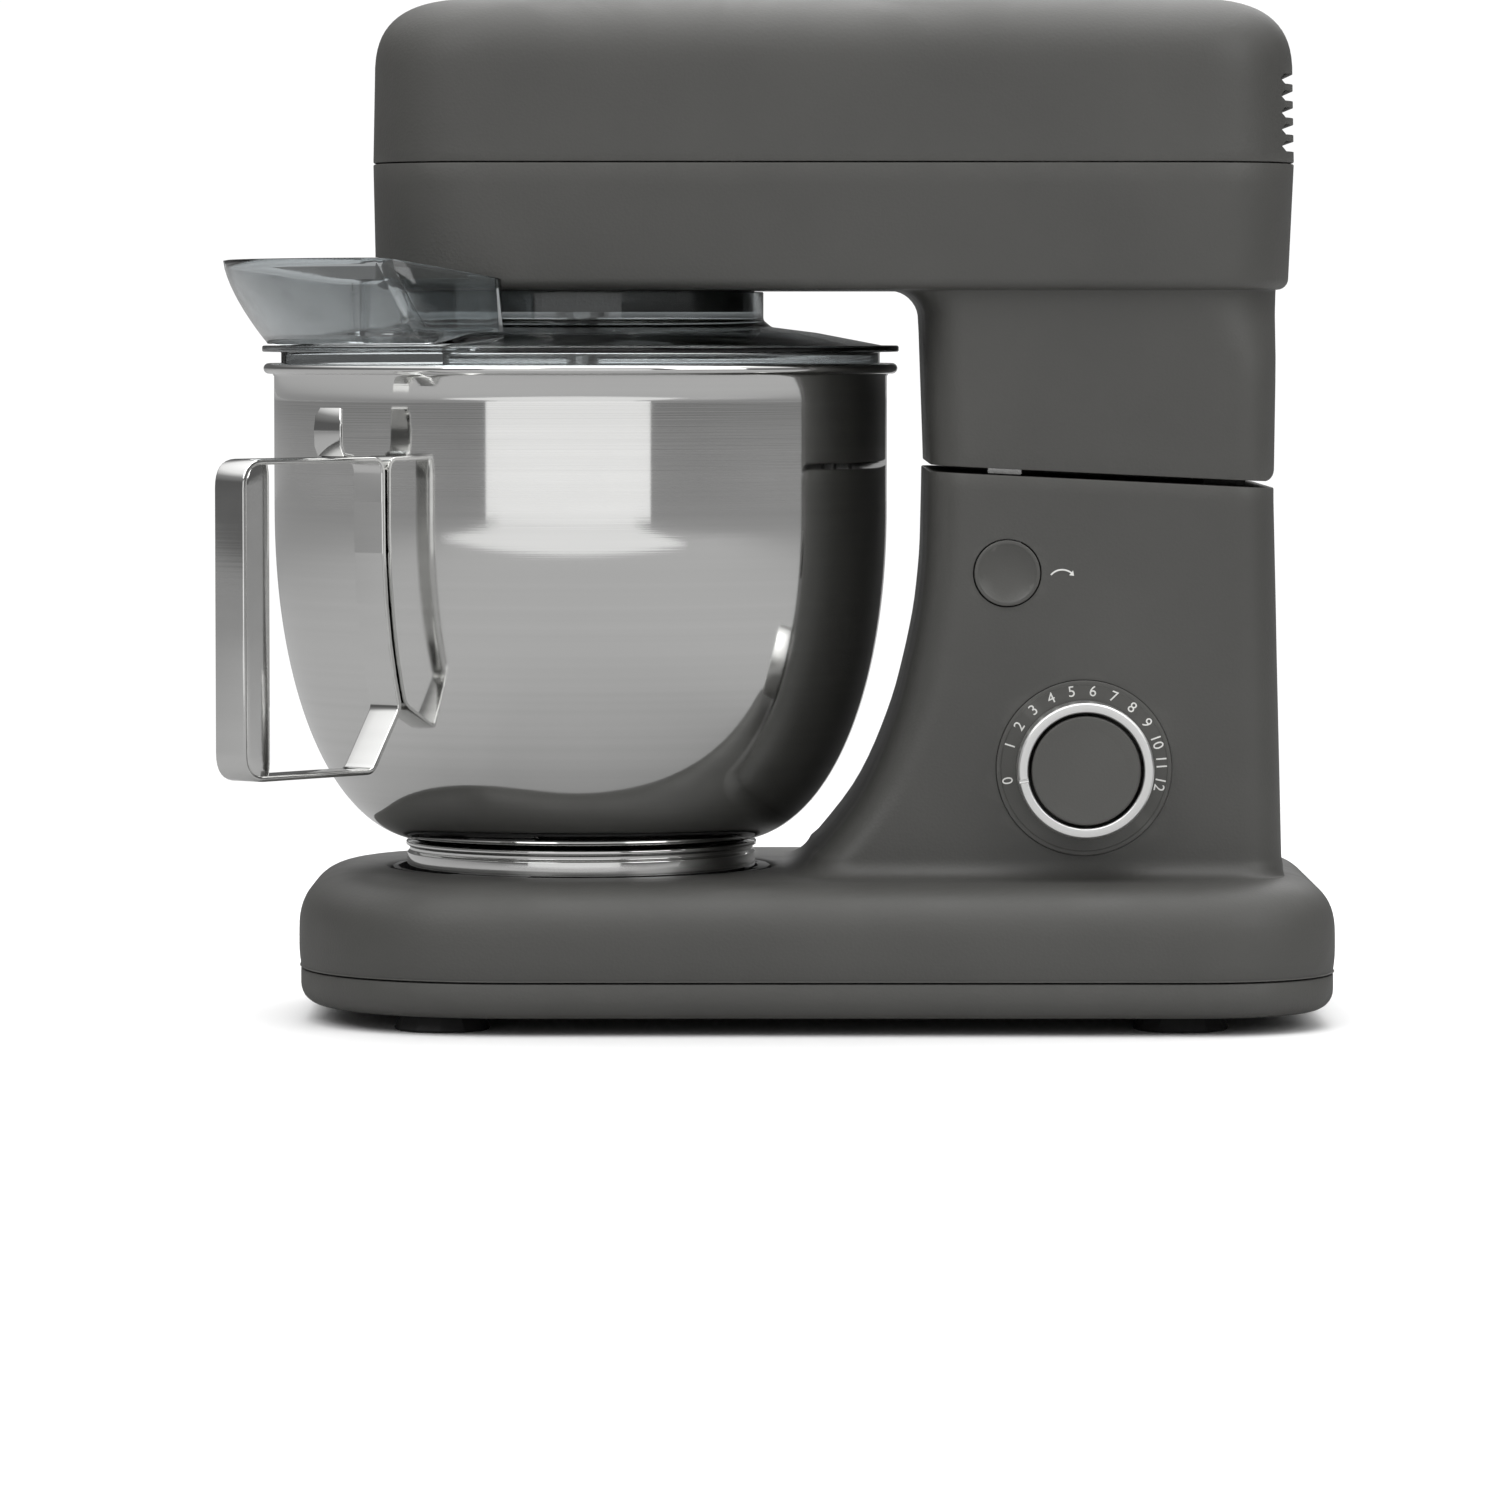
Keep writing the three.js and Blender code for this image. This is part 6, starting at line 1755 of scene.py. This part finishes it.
def rear_band(name, inner, outer, half_height, reach_y, tilt=0.0, steps=44):
    """A band that follows the inside of the head's rear, between two insets, with rounded ends."""
    guide_in = rear_guide(inner, reach_y, steps)
    guide_out = rear_guide(outer, reach_y, steps)

    def build(bm):
        rows = []
        for k, (a, b) in enumerate(zip(guide_in, guide_out)):
            from_end = min(k, steps - k) / steps * reach_y * 2
            fade = math.sqrt(max(0.02, min(1, from_end / half_height) * (2 - min(1, from_end / half_height))))
            h = half_height * fade * MM
            row = [(a, -h - tilt * MM), (b, -h + tilt * MM), (b, h + tilt * MM), (a, h - tilt * MM)]
            rows.append([bm.verts.new((p.x, p.y, p.z + z)) for p, z in row])
        ring_faces(bm, rows)
        bm.faces.new(rows[0])
        bm.faces.new(reversed(rows[-1]))

    return new_object(name, mesh_from(name, build))


def rear_guide(inset, reach_y, steps):
    """Points along the head's rear from -Y to +Y, at height zero."""
    x_rear, radius = HEAD_X1 - inset, HEAD_CORNERS[1][0] - inset
    centre_x, centre_y = x_rear - radius, HEAD_HALF - inset - radius
    points = []
    for k in range(steps + 1):
        y = mix(-reach_y, reach_y, k / steps)
        over = max(0, abs(y) - centre_y)
        power = 2.3
        x = centre_x + radius * (1 - min(1, over / radius) ** power) ** (1 / power)
        points.append(at(x, y, 0))
    return points


class MIXER_OT_outlet(bpy.types.Operator):
    """Air outlet slots round the rear of the head, with slanted slats behind them and a black sheet behind
    the slats that paints the shade inside the outlet
    """

    bl_idname = "mixer.outlet"
    bl_label = "Rear Air Outlet"

    def execute(self, context):
        cover = bpy.data.objects["Head_Cover"]
        step = Vector((0, 0, SLOT_PITCH * MM))
        slot = rear_band("Slot", 5.0, -3.0, 1.85, 63.0)
        slot.data.transform(Matrix.Translation((0, 0, SLOT_LOW * MM)))
        values = {"Count": SLOT_COUNT, "Step": step, "Material": FINISHES["casing"]}
        cut(cover, grown("Slots", slot, row_tree, values))
        finished(cover, FINISHES["casing"], "head", "casing")
        slat = rear_band("Slat", 7.4, 3.2, 0.5, 66.0, 1.2)
        slat.data.transform(Matrix.Translation((0, 0, (SLOT_LOW - SLOT_PITCH / 2) * MM)))
        values = {"Count": SLOT_COUNT + 1, "Step": step, "Material": FINISHES["black_plastic"]}
        slats = grown("Rear Grille", slat, row_tree, values)
        # A black sheet just inside the slats: painted shade that closes off the head's inside, so that the
        # slots read dark.
        shade_sheet = rear_band("Backing", 9.0, 7.2, 0.5, 57.0)
        grow = (SLOT_COUNT * SLOT_PITCH / 2 + 2) / 0.5
        middle = Matrix.Translation((0, 0, (SLOT_LOW + 2 * SLOT_PITCH) * MM))
        shade_sheet.data.transform(middle @ Matrix.Diagonal((1, 1, grow, 1)))
        merge(slats, shade_sheet)
        finished(slats, FINISHES["black_plastic"], "head", "black_plastic", "rear_grille")
        return {"FINISHED"}


def screw_shape(length, shank, head, upwards):
    """A pan-head screw with a cross recess; its head is at the low end."""
    corners = [(0, 0), (head * 0.55, 0), (head, 1.5), (head, 2.0), (shank, 2.0), (shank, length - 2)]
    corners += [(0.4, length), (0, length)]
    profile = rounded_profile(corners, [0, 1.6, 0.5, 0.2, 0.2, 0.4, 0.2, 0], 3)
    screw = turned("Screw", profile, 28, Vector((0, 0, 0)), closed=False)
    recess = []
    for wide, deep in ((2.0, 0.4), (0.4, 2.0)):
        def build(bm, wide=wide, deep=deep):
            bmesh.ops.create_cube(bm, size=1)
            bmesh.ops.scale(bm, vec=(wide * 2 * MM, deep * 2 * MM, 2.2 * MM), verts=bm.verts)
        recess.append(new_object("Recess", mesh_from("Recess", build)))
    cut(screw, *recess)
    if not upwards:
        screw.data.transform(Matrix.Rotation(math.pi, 4, "X"))
    return screw


class MIXER_OT_fasteners(bpy.types.Operator):
    """Screws of the base pan and of the chassis plate"""

    bl_idname = "mixer.fasteners"
    bl_label = "Fasteners"

    def execute(self, context):
        self.group("Pan Screws", "pan_screw", "stand", True)
        self.group("Chassis Screws", "chassis_screw", "head", False)
        return {"FINISHED"}

    def group(self, name, stem, body, upwards):
        nodes = [f"{stem}_{k}" for k in range(1, 5)]
        boxes = [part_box(node) for node in nodes]
        low, high = boxes[0]
        screw = screw_shape((high.z - low.z) / MM, 1.7, (high.x - low.x) / 2 / MM, upwards)
        mesh = bpy.data.meshes.new(name)
        ends = [(lo.z if upwards else hi.z) for lo, hi in boxes]
        middles = [((lo.x + hi.x) / 2, (lo.y + hi.y) / 2, z) for (lo, hi), z in zip(boxes, ends)]
        mesh.from_pydata(middles, [], [])
        values = {"Fastener": screw, "Seed": 3, "Material": FINISHES["steel"]}
        screws = grown(name, new_object(name, mesh), fastener_tree, values)
        bpy.data.objects.remove(screw)
        finished(screws, FINISHES["steel"], body, "steel", *nodes)


INSIDE = {
    "rubber": ["foot_1", "foot_2", "foot_3", "foot_4", "cord_gland", "drive_belt"],
    "black_plastic": ["bowl_seat", "speed_switch", "button_guide", "motor_brush_1", "motor_brush_2"],
    "circuit": ["control_board"],
    "casing": ["hub_collar", "hinge_bracket", "hinge_frame"],
    "shafts": [
        "planet_carrier", "main_shaft", "planet_gear", "tool_shaft", "tool_pin", "ring_gear", "hinge_pin",
        "latch_catch", "chassis_plate", "button_spring",
    ],
    "steel": ["countershaft", "pinion", "motor_shaft", "motor_pulley", "motor_stator"],
    "copper": ["field_coil", "armature", "commutator"],
    "nylon": ["large_gear", "belt_pulley", "cooling_fan"],
}


class MIXER_OT_inside(bpy.types.Operator):
    """Finishes for the feet, socket, drive train, motor and hinge"""

    bl_idname = "mixer.inside"
    bl_label = "Feet, Drive and Motor"

    def execute(self, context):
        for finish, nodes in INSIDE.items():
            for node in nodes:
                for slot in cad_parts[node].material_slots:
                    slot.material = FINISHES[finish]
        return {"FINISHED"}


# ---------------------------------------------------------------------------------------------------------
# Stage
# ---------------------------------------------------------------------------------------------------------


class MIXER_OT_stage(bpy.types.Operator):
    """Floor, soft lights and the camera"""

    bl_idname = "mixer.stage"
    bl_label = "Studio Stage"

    def execute(self, context):
        scene = context.scene
        self.floor()
        self.light("Key Light", (-1.3, -1.8, 2.0), 20, (1.6, 1.6))
        self.light("Fill Light", (1.9, -1.7, 1.3), 15, (1.4, 1.4))
        self.light("Top Light", (0.1, 0.2, 2.4), 34, (2.6, 2.6))
        self.light("Back Light", (0.4, 2.1, 1.6), 12, (1.8, 1.8))
        self.light("Front Panel", (-0.35, -3.4, 0.62), 11, (4.0, 1.2), aim=(-0.35, 0, 0.62))
        self.light("Floor Glow", (-0.35, -2.4, 0.02), 9, (3.0, 2.0), aim=(-0.35, -2.4, 1.0))
        self.surroundings(scene)
        self.camera(scene)
        scene.view_settings.view_transform = "Standard"
        return {"FINISHED"}

    def floor(self):
        half = 8.0
        mesh = bpy.data.meshes.new("Floor")
        corners = [(-half, -half, 0), (half, -half, 0), (half, half, 0), (-half, half, 0)]
        mesh.from_pydata(corners, [], [(0, 1, 2, 3)])
        floor = new_object("Floor", mesh)
        mesh.materials.append(FINISHES["floor"])

    def light(self, name, place, power, size, aim=(0, 0, 0.18)):
        lamp = bpy.data.lights.new(name, "AREA")
        lamp.energy = power
        lamp.shape = "RECTANGLE"
        lamp.size, lamp.size_y = size
        item = new_object(name, lamp)
        item.location = place
        item.visible_camera = False
        item.rotation_euler = (Vector(aim) - Vector(place)).to_track_quat("-Z", "Y").to_euler()

    def surroundings(self, scene):
        """White to the eye; a studio that darkens towards the horizon to what it lights."""
        world = bpy.data.worlds.new("Studio")
        world.use_nodes = True
        tree = world.node_tree
        lit = tree.nodes["Background"]
        direction = add(tree, "ShaderNodeTexCoord").outputs["Generated"]
        height = add(tree, "ShaderNodeSeparateXYZ", {0: direction}).outputs[2]
        room = add(tree, "ShaderNodeValToRGB", {"Fac": spread(tree, height, -1.0, 1.0)})
        stops = [(0.0, 0.5), (0.49, 0.4), (0.5, 0.12), (0.6, 0.12), (0.7, 0.3), (0.8, 1.1), (1.0, 1.6)]
        ramp = room.color_ramp
        while len(ramp.elements) < len(stops):
            ramp.elements.new(0.5)
        for element, (place, value) in zip(ramp.elements, stops):
            element.position = place
            element.color = (value, value, value, 1)
        tree.links.new(room.outputs["Color"], lit.inputs["Color"])
        white = add(tree, "ShaderNodeBackground", {"Color": (1, 1, 1, 1), "Strength": 1.05})
        seen = add(tree, "ShaderNodeLightPath").outputs["Is Camera Ray"]
        both = add(tree, "ShaderNodeMixShader", {0: seen, 1: lit.outputs[0], 2: white.outputs[0]})
        tree.links.new(both.outputs[0], tree.nodes["World Output"].inputs["Surface"])
        scene.world = world

    def camera(self, scene):
        target = Vector((AXIS.x + 0.0617, AXIS.y, 0.0953))
        place = Vector((AXIS.x + 0.0617, AXIS.y - 2.6937, 0.2486))
        lens = bpy.data.cameras.new("Camera")
        lens.lens, lens.sensor_width = 177.1, 36
        lens.clip_end = 50
        camera = new_object("Camera", lens)
        camera.location = place
        camera.rotation_euler = (target - place).to_track_quat("-Z", "Y").to_euler()
        scene.camera = camera


# ---------------------------------------------------------------------------------------------------------
# Panel, registration and the run
# ---------------------------------------------------------------------------------------------------------

STEPS = [
    MIXER_OT_base, MIXER_OT_pan, MIXER_OT_head, MIXER_OT_outlet, MIXER_OT_bowl, MIXER_OT_handle,
    MIXER_OT_guard, MIXER_OT_dial, MIXER_OT_button, MIXER_OT_beater, MIXER_OT_fasteners, MIXER_OT_inside,
    MIXER_OT_stage,
]


class VIEW3D_PT_mixer(bpy.types.Panel):
    """Sizes, colours and building steps of the mixer"""

    bl_label = "Stand Mixer"
    bl_space_type = "VIEW_3D"
    bl_region_type = "UI"
    bl_category = "Mixer"

    def draw(self, context):
        for group in (context.scene.mixer_colours, context.scene.mixer_sizes):
            box = self.layout.box()
            for name in group.bl_rna.properties.keys():
                if name not in {"rna_type", "name"}:
                    box.prop(group, name)
        column = self.layout.column()
        for step in STEPS:
            column.operator(step.bl_idname)


CLASSES = [MixerColours, MixerSizes, *STEPS, VIEW3D_PT_mixer]


def register():
    for item in CLASSES:
        bpy.utils.register_class(item)
    bpy.types.Scene.mixer_colours = PointerProperty(type=MixerColours)
    bpy.types.Scene.mixer_sizes = PointerProperty(type=MixerSizes)


def unregister():
    del bpy.types.Scene.mixer_sizes
    del bpy.types.Scene.mixer_colours
    for item in reversed(CLASSES):
        bpy.utils.unregister_class(item)


def main():
    register()
    scene = bpy.context.scene
    build_finishes(scene.mixer_colours, scene.mixer_sizes)
    for step in STEPS:
        group, name = step.bl_idname.split(".")
        getattr(getattr(bpy.ops, group), name)()


if __name__ == "__main__":
    main()
